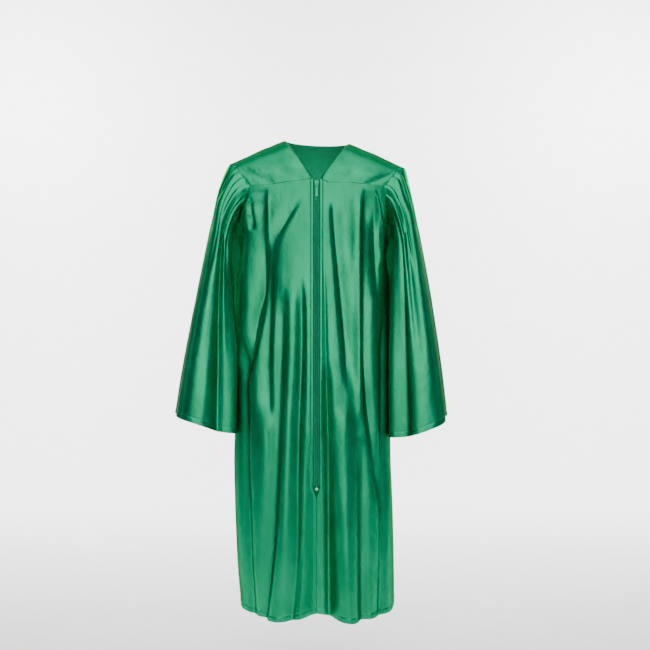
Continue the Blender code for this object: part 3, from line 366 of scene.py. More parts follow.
# Gathers below the back yoke: where they start, and the depths and widths they share
BACK_GATHERS_Z = -0.143
LONG_DEEP = (0.004, 0.005, 0.004, 0.0)
MIDDLE_DEEP = (0.004, 0.005, 0.003, 0.0)
SHORT_DEEP = (0.004, 0.005, 0.002, 0.0)
LEAST_DEEP = (0.004, 0.004, 0.002, 0.0)
LONG_WIDE = (0.003, 0.004, 0.006, 0.008)
MIDDLE_WIDE = (0.003, 0.004, 0.005, 0.006)
SHORT_WIDE = (0.003, 0.004, 0.004, 0.005)
BACK_CREASES = (
    Crease(BACK_GATHERS_Z, -0.340, (-0.160, -0.164, -0.170, -0.172), MIDDLE_DEEP,
        (0.003, 0.004, 0.005, 0.007), 1.4),
    Crease(BACK_GATHERS_Z, -0.520, (-0.139, -0.142, -0.150, -0.149), LONG_DEEP, LONG_WIDE, 1.4,
        1.4),
    Crease(BACK_GATHERS_Z, -0.270, (-0.117, -0.119, -0.122, -0.121), LEAST_DEEP, SHORT_WIDE, 1.4),
    Crease(BACK_GATHERS_Z, -0.470, (-0.104, -0.109, -0.113, -0.118), MIDDLE_DEEP,
        (0.003, 0.005, 0.006, 0.008), 1.4, 0.8),
    Crease(BACK_GATHERS_Z, -0.310, (-0.083, -0.083, -0.088, -0.086), SHORT_DEEP, MIDDLE_WIDE, 1.4),
    Crease(BACK_GATHERS_Z, -0.620, (-0.055, -0.058, -0.066, -0.069), LONG_DEEP, LONG_WIDE, 1.4,
        1.3),
    Crease(BACK_GATHERS_Z, -0.280, (-0.030, -0.029, -0.033, -0.034), LEAST_DEEP,
        (0.003, 0.004, 0.005, 0.005), 1.4),
    Crease(BACK_GATHERS_Z, -0.440, (-0.021, -0.020, -0.018, -0.022), MIDDLE_DEEP,
        (0.003, 0.004, 0.006, 0.007), 1.4),
    Crease(BACK_GATHERS_Z, -0.330, (0.004, 0.006, 0.004, 0.008), SHORT_DEEP, MIDDLE_WIDE, 1.4),
    Crease(BACK_GATHERS_Z, -0.570, (0.012, 0.014, 0.016, 0.014), LONG_DEEP,
        (0.003, 0.005, 0.006, 0.008), 1.4, 0.8),
    Crease(BACK_GATHERS_Z, -0.260, (0.033, 0.035, 0.038, 0.037), LEAST_DEEP, SHORT_WIDE, 1.4),
    Crease(BACK_GATHERS_Z, -0.500, (0.062, 0.064, 0.072, 0.074), MIDDLE_DEEP, LONG_WIDE, 1.4, 1.2),
    Crease(BACK_GATHERS_Z, -0.350, (0.090, 0.093, 0.094, 0.100), MIDDLE_DEEP, MIDDLE_WIDE, 1.4),
    Crease(BACK_GATHERS_Z, -0.660, (0.118, 0.124, 0.130, 0.133), LONG_DEEP, LONG_WIDE, 1.4),
    Crease(BACK_GATHERS_Z, -0.300, (0.145, 0.148, 0.154, 0.157), MIDDLE_DEEP, MIDDLE_WIDE, 1.4),
    Crease(BACK_GATHERS_Z, -0.420, (0.164, 0.170, 0.174, 0.176), (0.003, 0.004, 0.003, 0.0),
        LONG_WIDE, 1.4),
    Crease(-0.480, -1.310, (-0.140, -0.146, BACK_GATHERS_Z, -0.150, -0.148),
        (0.0, 0.004, 0.005, 0.006, 0.006), (0.006, 0.007, 0.008, 0.009, 0.010), 1.6),
    Crease(-0.620, -1.310, (-0.084, -0.090, -0.088, -0.094), (0.0, 0.005, 0.005, 0.007),
        (0.006, 0.007, 0.008, 0.010), 1.6, 1.4),
    Crease(-0.400, -1.180, (-0.030, -0.026, -0.030, -0.028), (0.0, 0.004, 0.005, 0.001),
        (0.006, 0.007, 0.008, 0.009), 1.6),
    Crease(-0.700, -1.310, (0.030, 0.034, 0.031, 0.036), (0.0, 0.005, 0.005, 0.007),
        (0.006, 0.008, 0.008, 0.010), 1.6, 0.8),
    Crease(-0.520, -1.310, (0.086, 0.088, 0.094, 0.092, 0.096), (0.0, 0.004, 0.005, 0.006, 0.007),
        (0.006, 0.007, 0.008, 0.009, 0.010), 1.6),
    Crease(-0.820, -1.310, (0.146, 0.150, 0.148, 0.152), (0.0, 0.004, 0.005, 0.006),
        (0.006, 0.008, 0.008, 0.010), 1.6),
    Crease(-0.900, -1.310, (-0.116, -0.118, -0.114, -0.118), (0.0, -0.004, -0.004, -0.005),
        (0.008, 0.009, 0.010, 0.011), 2.0),
    Crease(-0.880, -1.310, (0.056, 0.060, 0.058, 0.062), (0.0, -0.003, -0.004, -0.004),
        (0.008, 0.009, 0.010, 0.011), 2.0),
)

# Sleeve creases: shares of its length, degrees round from the outer line, in the same way.
# Skew makes the side towards the inner line wider.
Gather = namedtuple("Gather", "start end turn deep wide sharp skew", defaults=(1.3, 1.0))

# Depths and widths that gathers of the caps share
CAP_LEAST = (0.0056, 0.0056, 0.0)
CAP_LESS = (0.0056, 0.007, 0.0)
CAP_MORE = (0.0056, 0.0084, 0.0)
CAP_MOST = (0.0056, 0.0098, 0.0)
CAP_FINE = (2.5, 3.0, 4.0)
CAP_MIDDLE = (2.5, 3.5, 5.0)
CAP_WIDE = (3.5, 4.0, 6.0)
SLEEVE_GATHERS = {
    "right": (
        Gather(0.00, 0.24, (10, 13, 15), CAP_MORE, CAP_WIDE),
        Gather(0.00, 0.15, (24, 25, 26), CAP_LEAST, CAP_FINE),
        Gather(0.00, 0.34, (37, 38, 37), CAP_MOST, CAP_WIDE),
        Gather(0.00, 0.18, (50, 51, 50), CAP_LESS, CAP_FINE),
        Gather(0.00, 0.44, (62, 63, 66, 68), (0.0056, 0.0098, 0.007, 0.0), (3.0, 4.0, 5.0, 7.0)),
        Gather(0.00, 0.20, (75, 76, 78), CAP_LESS, CAP_FINE),
        Gather(0.02, 1.10, (92, 99, 109, 119, 126, 129, 130),
            (0.003, 0.010, 0.014, 0.016, 0.016, 0.015, 0.012),
            (8.0, 16.0, 22.0, 26.0, 28.0, 28.0, 26.0), 1.7, 0.16),
        Gather(0.00, 0.26, (102, 103, 106), CAP_LESS, CAP_MIDDLE),
        Gather(0.02, 0.38, (116, 118, 121), (0.0028, 0.007, 0.0), (3.0, 4.0, 6.0)),
        Gather(0.16, 1.06, (122, 134, 142, 145, 145), (-0.001, -0.006, -0.008, -0.008, -0.005),
            (7.0, 9.0, 11.0, 11.0, 10.0), 2.0),
        Gather(0.22, 0.62, (146, 148, 150), (0.0, 0.006, 0.0), (4.0, 5.0, 5.0), 1.6),
        Gather(0.20, 1.10, (58, 60, 62), (0.0, -0.004, -0.005), (18.0, 20.0, 20.0), 2.2),
        Gather(0.00, 0.30, (156, 154, 152), (-0.012, -0.012, 0.0), (12.0, 13.0, 12.0), 2.0),
        Gather(0.34, 1.10, (-18, -20, -20), (0.0, -0.003, -0.005), (8.0, 9.0, 10.0), 1.8),
        Gather(0.42, 1.10, (-36, -38, -38), (0.0, 0.004, 0.006), (8.0, 9.0, 10.0), 1.8),
        Gather(0.00, 0.24, (-12, -13, -14), CAP_MORE, CAP_WIDE),
        Gather(0.00, 0.16, (-24, -25, -24), CAP_LEAST, CAP_FINE),
        Gather(0.00, 0.36, (-36, -37, -36), CAP_MOST, CAP_WIDE),
        Gather(0.00, 0.20, (-48, -50, -49), CAP_LESS, CAP_FINE),
        Gather(0.00, 0.70, (-60, -60, -58), (0.004, 0.007, 0.0), (3.0, 5.0, 8.0)),
        Gather(0.00, 0.22, (-73, -74, -76), CAP_LESS, CAP_MIDDLE),
        Gather(0.00, 0.34, (-86, -86, -88), CAP_MORE, (3.0, 4.0, 6.0)),
        Gather(0.02, 0.40, (-110, -109, -108), (0.0028, 0.007, 0.0), (3.0, 4.0, 6.0)),
        Gather(0.45, 1.10, (-84, -82, -80), (0.0, 0.004, 0.006), (6.0, 7.0, 8.0), 1.7),
        Gather(0.50, 1.10, (-128, -126, -126), (0.0, 0.004, 0.005), (6.0, 6.0, 7.0), 1.7),
        Gather(0.60, 1.10, (-24, -26, -26), (0.0, 0.003, 0.005), (7.0, 8.0, 9.0), 1.8),
    ),
    "left": (
        Gather(0.00, 0.22, (9, 12, 14), CAP_MORE, CAP_WIDE),
        Gather(0.00, 0.16, (23, 25, 24), CAP_LESS, CAP_FINE),
        Gather(0.00, 0.32, (38, 37, 35), CAP_MOST, CAP_WIDE),
        Gather(0.00, 0.20, (55, 57, 60), CAP_LESS, CAP_MIDDLE),
        Gather(0.00, 0.42, (73, 74, 76), (0.007, 0.0112, 0.0), (3.0, 5.0, 8.0), 1.2),
        Gather(0.00, 0.22, (90, 91, 93), CAP_LESS, CAP_FINE),
        Gather(0.03, 1.10, (108, 115, 121, 124, 124), (0.004, 0.011, 0.013, 0.013, 0.011),
            (5.0, 8.0, 9.5, 10.0, 10.0), 1.8),
        Gather(0.10, 1.06, (130, 138, 142, 144, 144), (-0.002, -0.007, -0.008, -0.008, -0.005),
            (6.0, 7.0, 7.5, 8.0, 8.0), 1.9),
        Gather(0.06, 0.78, (84, 88, 89, 88), (0.004, 0.006, 0.005, 0.0), (6.0, 9.0, 9.0, 8.0), 1.8),
        Gather(0.12, 1.10, (56, 62, 62, 60), (-0.002, -0.005, -0.006, -0.006),
            (12.0, 14.0, 17.0, 19.0), 2.2),
        Gather(0.00, 0.30, (156, 154, 152), (-0.012, -0.012, 0.0), (12.0, 13.0, 12.0), 2.0),
        Gather(0.30, 1.10, (-16, -19, -20), (0.0, -0.003, -0.005), (8.0, 9.0, 10.0), 1.8),
        Gather(0.46, 1.10, (-38, -37, -36), (0.0, 0.004, 0.006), (8.0, 9.0, 10.0), 1.8),
        Gather(0.00, 0.24, (-13, -13, -12), CAP_MORE, CAP_WIDE),
        Gather(0.00, 0.16, (-26, -26, -25), CAP_LEAST, CAP_FINE),
        Gather(0.00, 0.36, (-38, -38, -37), CAP_MOST, CAP_WIDE),
        Gather(0.00, 0.20, (-50, -51, -52), CAP_LESS, CAP_FINE),
        Gather(0.00, 0.66, (-62, -61, -60), (0.004, 0.007, 0.0), (3.0, 5.0, 8.0)),
        Gather(0.00, 0.24, (-75, -76, -76), CAP_LESS, CAP_MIDDLE),
        Gather(0.00, 0.32, (-87, -86, -85), CAP_MORE, (3.0, 4.0, 6.0)),
        Gather(0.02, 0.40, (-112, -111, -110), (0.0028, 0.007, 0.0), (3.0, 4.0, 6.0)),
        Gather(0.50, 1.10, (-86, -84, -82), (0.0, 0.004, 0.006), (6.0, 7.0, 8.0), 1.7),
        Gather(0.55, 1.10, (-130, -128, -128), (0.0, 0.004, 0.005), (6.0, 6.0, 7.0), 1.7),
        Gather(0.60, 1.10, (-26, -24, -24), (0.0, 0.003, 0.005), (7.0, 8.0, 9.0), 1.8),
    ),
}

# Soft creases of the yokes: share across and down at both ends, depth, width in shares
Drape = namedtuple("Drape", "across_a down_a across_b down_b deep wide")
YOKE_DRAPES = {
    "right": (
        Drape(0.20, 1.00, 0.55, 0.55, 0.0020, 0.10),
        Drape(0.62, 0.95, 0.95, 0.60, 0.0020, 0.09),
        Drape(0.45, 0.10, 0.75, 0.30, -0.0015, 0.14),
    ),
    "left": (
        Drape(0.72, 1.00, 0.97, 0.70, 0.0035, 0.07),
        Drape(0.30, 0.98, 0.50, 0.50, 0.0020, 0.10),
        Drape(0.50, 0.12, 0.80, 0.28, -0.0015, 0.14),
    ),
    "back": (
        Drape(0.10, 0.90, 0.30, 0.45, 0.0025, 0.07),
        Drape(0.36, 1.00, 0.42, 0.50, 0.0020, 0.06),
        Drape(0.62, 1.00, 0.58, 0.45, 0.0022, 0.07),
        Drape(0.90, 0.92, 0.72, 0.48, 0.0025, 0.07),
    ),
}

# Fades at a yoke's edges, as shares, and its small ripples: depth and counts over it
DRAPE_EASED = 0.6  # share of its depth that a drape loses towards its end
YOKE_EDGE = 0.06
YOKE_SHOULDER_EDGE = 0.1
YOKE_SEAM_EDGE = 0.03
YOKE_CENTRE = (0, 0, -0.16)
YokeRipple = namedtuple("YokeRipple", "deep across down seed")
YOKE_RIPPLES = (YokeRipple(0.0005, 7, 4, 41), YokeRipple(0.00015, 19, 10, 43))

# Where fine creases and waves fade, and over what share gathers grow
GATHER_RISE = 0.08
CAP_GATHER_RISE = 0.012  # of the sleeve's length, for gathers that start at the armhole
FINE_SEAM_FADE = 0.012
FINE_YOKE_FADE = 0.010

# Uneven waves of hanging cloth: depth, lengths across and down, and lean
Wave = namedtuple("Wave", "deep across down lean")
WAVES = (
    Wave(0.0013, 0.040, 0.34, 1),
    Wave(0.0004, 0.020, 0.20, -1),
    Wave(0.00012, 0.010, 0.045, 0),
)
NOISE_CELLS = 64
WAVE_LEAN = 0.10
WAVE_LEAN_ACROSS = 0.20
WAVE_LEAN_DOWN = 0.50
WAVES_AT_YOKE = 0.35  # share of the waves just below the yokes
WAVES_GROW = 0.30
SLEEVE_WAVES_GROW = 0.08
SLEEVE_HALF_ROUND = 0.21  # mean length half round a sleeve
SLEEVE_LENGTH = 0.72
WAVES_INNER = 0.6  # from here round to the inner line the sleeve's waves fade
WAVES_INNER_FADE = 0.35
WAVES_AT_INNER = 0.4
FRONT_SEED = 5
BACK_SEED = 11
SLEEVE_SEEDS = {"right": 31, "left": 36}
FRONT_HEM_SEED = 21
BACK_HEM_SEED = 27
CUFF_HEM_SEED = 51

# Stitches: threads with a ring at each share of their length, in radii of the thread
THREAD = 0.00028
HEM_THREAD = (0.0036, 0.0028)  # from stitch to stitch, and the length of one
EDGE_THREAD = (0.0030, 0.0023)
STITCH_SIDES = 6
STITCH_LIFT = 0.35
STITCH_LEAST = 0.5  # a stitch cut shorter than this share is left out
StitchRing = namedtuple("StitchRing", "share fat high")
STITCH_RINGS = (
    StitchRing(0.0, 0.35, -0.2),
    StitchRing(0.22, 0.95, 0.3),
    StitchRing(0.78, 0.95, 0.3),
    StitchRing(1.0, 0.35, -0.2),
)

# Teeth: rings from the front face back, as depth and share of the whole size
TOOTH_PITCH = 0.00165
TOOTH_SHARE = 0.46  # half a tooth's height, as a share of the pitch
TOOTH_WAIST = 0.72
TOOTH_MESH = 0.0009  # how far a tooth reaches past the middle
TOOTH_FRONT = 0.90
TOOTH_POINTS = 6
TOOTH_RINGS = ((0.0, 0.62), (0.00045, 0.95), (CHAIN_DEPTH, 1.0))

# Finer forms of the slider, the pull and the stop
CORNER_STEPS = 6
BEVEL_STEPS = 3
BEVEL_FROM = 40  # degrees
SLIDER_TAPER = 0.80
PLATE_CORNER = 0.0022
PLATE_BEVEL = 0.00045
POST_TAPER = 0.6
POST_CORNER = 0.0004
POST_BEVEL = 0.0002
BAR_SIDES = 10
BAR_POWER = 0.6  # below 1 makes a bar's section squarer
BRIDGE_FOOT = 0.4  # share of the plate that the bridge's feet sink in
BRIDGE_STEPS = 16
BRIDGE_POWER = 0.55
BRIDGE_BROAD = 1.25
BRIDGE_BEVEL = 0.0001
PULL_TAPER = 0.80
PULL_CORNER = 0.0022
PULL_BEVEL = 0.00032
WINDOW_CORNER = 0.0008
GRIP_REACH = (0.92, 0.42)  # shares of the pull's length, low and high
GRIP_TOP = 0.55
GRIP_LOW = 0.60
GRIP_CORNER = 0.0012
GRIP_OUT = 0.72
GRIP_BEVEL = 0.0002
STOP_CUT = 0.0006
STOP_TIP = 0.0008
STOP_NECK = 0.92
STOP_BEVEL = 0.0004

# Satin
SATIN_DEEP = (0.003, 0.290, 0.122)
SATIN_LIGHT = (0.006, 0.370, 0.168)
SATIN_ROUGH = (0.33, 0.41)
SATIN_SHADER = {
    "Metallic": 0.93,
    "Anisotropic": 0.35,
    "Sheen Weight": 0.01,
    "Sheen Roughness": 0.35,
    "Sheen Tint": (0.45, 0.95, 0.72, 1),
    "Specular IOR Level": 0.30,
    "Specular Tint": (0.0, 0.10, 0.12, 1),
}
WEAVE_TURN = 0.35
WEAVE_TURN_STEP = 0.02
TAPE_DEEP = (0.003, 0.20, 0.090)
TAPE_LIGHT = (0.005, 0.27, 0.125)
MIX_SHARE, MIX_A, MIX_B = 0, 6, 7  # the colour mix node's inputs, and its output
MIX_RESULT = 2
CLOUD_SHARE = 0.3  # of the grain's count, for the clouds of a small finish
ROUGH_SPAN = 0.15

# Small finishes: two colours, roughness, grains to a metre, depth of the grain
Finish = namedtuple(
    "Finish", "name dark light rough grain depth metallic coat sheen", defaults=(0.0, 0.0, 0.0)
)
REVERSE = Finish(
    "satin_reverse", (0.020, 0.50, 0.24), (0.030, 0.62, 0.30), 0.60, 700, 0.00005, 0.25, 0.0, 0.1
)
THREAD_FINISH = Finish(
    "thread", (0.02, 0.30, 0.16), (0.04, 0.42, 0.24), 0.5, 2400, 0.00004, sheen=0.3
)
ZIP_METAL = Finish(
    "zip_enamel", (0.004, 0.34, 0.16), (0.008, 0.43, 0.21), 0.34, 900, 0.00003, 0.45, 0.2
)
ZIP_TEETH = Finish(
    "zip_moulding", (0.006, 0.26, 0.13), (0.010, 0.34, 0.18), 0.60, 1200, 0.00003
)
STOP_ENAMEL = Finish(
    "stop_enamel", (0.40, 0.78, 0.60), (0.52, 0.86, 0.70), 0.30, 900, 0.00003, 0.2, 0.3
)
PAPER = Finish("paper", (0.86, 0.86, 0.86), (0.90, 0.90, 0.90), 0.8, 40, 0.0001)

# Stage: a floor that curves up behind, soft lights and the camera
FLOOR_Z = -1.45
FLOOR_HALF = 7.0
FLOOR_BACK = 4.2
FLOOR_CURVE = 1.6
FLOOR_TOP = 6.0
FLOOR_STEPS = 24
WORLD = 0.06
CAMERA_AWAY = 2.9
CAMERA_X, CAMERA_Z = 0.0224, -0.512
FRAME_WIDE = 1.82
SENSOR = 36
Light = namedtuple("Light", "name place aim size power")
LIGHTS = (
    Light("front", (-0.05, -3.6, 0.40), (0, 0, -0.6), (3.0, 2.4), 56),
    Light("front_low", (0.5, -3.3, -0.7), (0, 0, -0.7), (1.4, 1.2), 8),
    Light("top", (0.0, -0.45, 1.9), (0, -0.1, -0.1), (3.0, 1.5), 26),
    Light("collar", (0.0, -1.9, 1.6), (0, 0.0, -0.10), (2.6, 1.1), 26),
    Light("rear", (0.4, 3.0, 0.4), (0, 0, -0.6), (1.5, 2.0), 9),
    Light("rim", (0.0, 1.5, 2.0), (0, 0, -0.1), (3.0, 1.0), 16),
    Light("side_right", (-3.2, 0.2, 0.3), (0, 0, -0.6), (1.0, 2.0), 5),
    Light("side_left", (3.2, 0.2, 0.3), (0, 0, -0.6), (1.0, 2.0), 5),
    Light("paper_right", (-2.5, 2.1, 1.3), (-0.3, 4.2, -0.2), (1.2, 1.2), 360),
    Light("paper_left", (2.5, 2.1, 1.3), (0.3, 4.2, -0.2), (1.2, 1.2), 360),
)


def rows_of(table, *columns):
    """The named columns of a table as arrays."""
    return [np.array([getattr(row, column) for row in table], float) for column in columns]


def smooth_curve(at, places, values):
    """Values at the given places, through the table's rows with no overshoot."""
    order = np.argsort(places)
    p, f = np.asarray(places, float)[order], np.asarray(values, float)[order]
    step = np.diff(p)
    slope = np.diff(f) / step
    tangent = np.zeros_like(f)
    same = slope[:-1] * slope[1:] > 0
    mean = 2 * slope[:-1] * slope[1:] / np.where(same, slope[:-1] + slope[1:], 1)
    tangent[1:-1] = np.where(same, mean, 0)
    tangent[0], tangent[-1] = slope[0], slope[-1]
    at = np.clip(at, p[0], p[-1])
    i = np.clip(np.searchsorted(p, at, side="right") - 1, 0, len(step) - 1)
    t = (at - p[i]) / step[i]
    h = step[i]
    return (
        (1 + 2 * t) * (1 - t) ** 2 * f[i]
        + t * (1 - t) ** 2 * h * tangent[i]
        + t * t * (3 - 2 * t) * f[i + 1]
        - t * t * (1 - t) * h * tangent[i + 1]
    )


def smooth_step(t):
    """0 below 0, 1 above 1, smooth between."""
    t = np.clip(t, 0, 1)
    return t * t * (3 - 2 * t)


def mix(a, b, t):
    """From a to b as t goes from 0 to 1."""
    return a + (b - a) * t


def through(values, t):
    """A smooth line through evenly spaced values as t goes from 0 to 1."""
    return smooth_curve(t, np.linspace(0, 1, len(values)), values)


def seam_height(side, x):
    """Height of the front yoke seam at a distance from the middle."""
    places, heights = rows_of(FRONT_SEAM, "x", f"{side.name}_z")
    return smooth_curve(x, places, heights)


def back_seam_height(x):
    """Height of the back yoke seam."""
    return mix(BACK_SEAM_MIDDLE_Z, CORNER_Z, (np.abs(x) / CORNER_X) ** BACK_SEAM_POWER)


def body_depth(z, behind):
    """How far the body's section reaches from y 0 at a height."""
    levels, depth = rows_of(BODY, "z", "back" if behind else "front")
    return smooth_curve(z, levels, depth)


def full_width(side, z, behind):
    """Half width of the whole rounded section, which the armholes cut above the underarm."""
    levels, wide = rows_of(BODY, "z", side.name)
    at, width, reach = rows_of(ARMHOLES[side.name], "z", "x", "back" if behind else "front")
    share = np.clip(reach / body_depth(at, behind), 0, 1)
    whole = width / (1 - share**ROUNDNESS) ** (1 / ROUNDNESS)
    below = levels < at[-1]
    places = np.concatenate([at, levels[below]])
    return smooth_curve(z, places, np.concatenate([whole, wide[below]]))


def last_angle(side, z, behind):
    """The section's angle where the cloth ends: at the armhole, or at the side below it."""
    at, width = rows_of(ARMHOLES[side.name], "z", "x")
    share = np.clip(smooth_curve(z, at, width) / full_width(side, z, behind), 0, 1)
    return np.where(z > at[-1], np.arcsin(share ** (ROUNDNESS / 2)), math.pi / 2)


def body_section(side, turn, z, behind):
    """A point on the plain body surface. turn is 0 at the middle and 1 at the outer edge."""
    angle = np.clip(turn, 0, 1) * last_angle(side, z, behind)
    power = 2 / ROUNDNESS
    x = side.sign * full_width(side, z, behind) * np.sin(angle) ** power
    y = np.maximum(body_depth(z, behind) * np.abs(np.cos(angle)) ** power, SEAM_GAP)
    return x, y if behind else -y


def outer_edge(side, z, behind):
    """Where the body's cloth ends at a height: its half width and its y."""
    x, y = body_section(side, np.ones_like(z), z, behind)
    return np.abs(x), y


def turn_at(side, x, z, behind):
    """The turn at which the body section has a given x."""
    share = np.clip(np.abs(x) / full_width(side, z, behind), 0, 1)
    return np.arcsin(share ** (ROUNDNESS / 2)) / last_angle(side, z, behind)


def both_sides(turn, z, behind):
    """Points of the plain body at signed turns, below 0 on the right."""
    x_r, y_r = body_section(RIGHT, -turn, z, behind)
    x_l, y_l = body_section(LEFT, turn, z, behind)
    return np.where(turn < 0, x_r, x_l), np.where(turn < 0, y_r, y_l)


def on_body(line, z, behind):
    """The plain body's x and y where a line runs down it."""
    x_r, y_r = body_section(RIGHT, turn_at(RIGHT, line, z, behind), z, behind)
    x_l, y_l = body_section(LEFT, turn_at(LEFT, line, z, behind), z, behind)
    return np.where(line < 0, x_r, x_l), np.where(line < 0, y_r, y_l)


def surface_normals(points):
    """Unit normals of a grid of points, shape rows, columns, 3."""
    down = np.gradient(points, axis=0)
    across = np.gradient(points, axis=1)
    normal = np.cross(down, across)
    return normal / np.linalg.norm(normal, axis=2, keepdims=True)


def front_edge(z):
    """How far the folded front edge lies from the middle."""
    return mix(EDGE_OPEN, EDGE_SHUT, smooth_step((ZIP_END_Z - z) / (ZIP_END_Z - EDGE_CLOSED_Z)))


def hem_height(x, behind):
    """Height of the hem at a distance x from the middle."""
    front = mix(HEM_MIDDLE_Z, HEM_FRONT_Z, smooth_step(np.abs(x) / HEM_MIDDLE_HALF))
    low = HEM_BACK_Z if behind else front
    return mix(low, HEM_SIDE_Z, np.clip(np.abs(x) / CORNER_X, 0, 1) ** HEM_SIDE_POWER)


def armhole_shares():
    """Shares down the armhole, closer together where it rounds out below."""
    return np.sin(np.linspace(0, 1, ARMHOLE_ROWS + 1) * math.pi / 2)


def underarm(side):
    """Height of the armhole's lowest point."""
    return ARMHOLES[side.name][-1].z


def quarter_ellipse(start, end, share):
    """From start, where it runs level towards end's y, to end, where it runs down."""
    angle = share * math.pi / 2
    start, end = np.asarray(start, float), np.asarray(end, float)
    sink = (1 - np.cos(angle))[:, None]
    points = mix(start, end, sink)
    points[:, 1] = mix(start[1], end[1], np.sin(angle))
    return points


def coons(top, bottom, first, last):
    """A patch between four edges. top and bottom run across, first and last run down."""
    rows, columns = len(first), len(top)
    s = np.linspace(0, 1, rows)[:, None, None]
    t = np.linspace(0, 1, columns)[None, :, None]
    between = mix(top[None], bottom[None], s) + mix(first[:, None], last[:, None], t)
    corners = mix(mix(top[0], top[-1], t), mix(bottom[0], bottom[-1], t), s)
    return between - corners


def yoke_corner(side, behind):
    """The outer lower corner of a yoke."""
    y = CORNER_BACK if behind else -CORNER_FRONT
    return np.array([side.sign * CORNER_X, y, CORNER_Z])


def neck_point(side):
    """Where the shoulder line meets the neck."""
    return np.array([side.sign * NECK_HALF_WIDTH, 0, side.neck_z])


def shoulder_tip(side):
    """Where the shoulder line meets the armhole."""
    return np.array([side.sign * side.tip_x, 0, side.tip_z])


def yoke_patch(top, bottom, down, shoulder_y):
    """A yoke's points between its shoulder line and its seam."""
    first = quarter_ellipse(top[0], bottom[0], down)
    last = quarter_ellipse(top[-1], bottom[-1], down)
    points = coons(top, bottom, first, last)
    points[0, :, 1] += shoulder_y
    points[-1, :, 2] += SEAM_GAP / 2
    return points


def v_turn(side):
    """The turn of the front edge at the foot of the V neck."""
    return turn_at(side, np.array(V_HALF_WIDTH), np.array(-V_DROP), False)


def front_yoke_points(side, columns, rows):
    """Points of one front yoke, neck to armhole, shoulder to seam."""
    across = np.linspace(0, 1, columns + 1)
    down = np.linspace(0, 1, rows + 1)
    top = mix(neck_point(side), shoulder_tip(side), across[:, None])
    turn = mix(v_turn(side), 1, across)
    x = body_section(side, turn, np.full_like(across, CORNER_Z), False)[0]
    seam_z = seam_height(side, np.abs(x))
    y = body_section(side, turn, seam_z, False)[1]
    return yoke_patch(top, np.stack([x, y, seam_z], axis=1), down, -SHOULDER_GAP / 2)


def back_yoke_points(columns, rows):
    """Points of the back yoke, right tip to left tip, shoulders and neck to seam."""
    across = np.linspace(-1, 1, columns + 1)
    down = np.linspace(0, 1, rows + 1)
    top = np.zeros((columns + 1, 3))
    for i, t in enumerate(across):
        side = RIGHT if t < 0 else LEFT
        if abs(t) > NECK_SHARE:
            out = (abs(t) - NECK_SHARE) / (1 - NECK_SHARE)
            top[i] = mix(neck_point(side), shoulder_tip(side), out)
        else:
            angle = t / NECK_SHARE * math.pi / 2
            level = mix(-RIGHT.neck_z, RIGHT.neck_z, 0.5 - 0.5 * math.sin(angle))
            top[i] = (
                NECK_HALF_WIDTH * math.sin(angle),
                NECK_BACK * math.cos(angle),
                level - NECK_BACK_DROP * math.cos(angle),
            )
    x = both_sides(across, np.full_like(across, CORNER_Z), True)[0]
    seam_z = back_seam_height(x)
    y = both_sides(across, seam_z, True)[1]
    return yoke_patch(top, np.stack([x, y, seam_z], axis=1), down, SHOULDER_GAP / 2)


def armhole_line(side, behind):
    """The armhole's edge from the tip to the underarm, at the pieces' own rows."""
    corner = yoke_corner(side, behind)
    upper = quarter_ellipse(shoulder_tip(side), corner, np.linspace(0, 1, YOKE_ROWS + 1))
    z = mix(CORNER_Z, underarm(side), armhole_shares())[1:]
    x, y = outer_edge(side, z, behind)
    return np.concatenate([upper, np.stack([side.sign * x, y, z], axis=1)])


def lengths(points, axis=0):
    """The length along each line of points from its first one."""
    step = np.linalg.norm(np.diff(points, axis=axis), axis=-1)
    return np.insert(np.cumsum(step, axis=axis), 0, 0, axis=axis)


def point_at(distance, reach, line):
    """The point of a line, or the points, at a distance along it."""
    return np.stack([np.interp(distance, reach, line[:, i]) for i in range(3)], axis=-1)


def armhole_points(side, turns):
    """Points of the armhole. turns are degrees from the tip, positive to the front."""
    points = np.zeros((len(turns), 3))
    for behind in (False, True):
        line = armhole_line(side, behind)
        reach = lengths(line)
        here = (turns < 0) == behind
        points[here] = point_at(np.abs(turns[here]) / 180 * reach[-1], reach, line)
    return points


def signed_power(values, power):
    """Powers that keep the sign of their values."""
    return np.sign(values) * np.abs(values) ** power


def sleeve_turns():
    """Degrees round the sleeve, closer together over the gathered cap."""
    t = np.linspace(-1, 1, SLEEVE_COLUMNS + 1)[:-1]
    return 180 * mix(t, signed_power(t, CAP_CROWD_POWER), CAP_CROWD)


def sleeve_fold_depth(side, turns, along):
    """How far the folds push a ring of the sleeve in."""
    total = np.zeros_like(turns)
    for fold in SLEEVE_FOLDS[side.name]:
        t = (along - fold.start) / (fold.end - fold.start)
        if not 0 < t < 1:
            continue
        rise = smooth_step(along / ROOT_RISE) * smooth_step(t / SLEEVE_FOLD_RISE)
        if fold.end < 1:
            rise = rise * smooth_step((1 - t) / SLEEVE_FOLD_FALL)
        away = turns - mix(fold.turn_top, fold.turn_end, t)
        wide = mix(fold.wide_top, fold.wide_end, t)
        total += mix(fold.deep_top, fold.deep_end, t) * rise * np.exp(-((away / wide) ** 2))
    return total


def bell(away, wide, sharp):
    """1 at the middle of a crease and 0 away from it."""
    return np.exp(-(np.abs(away) / wide) ** sharp)


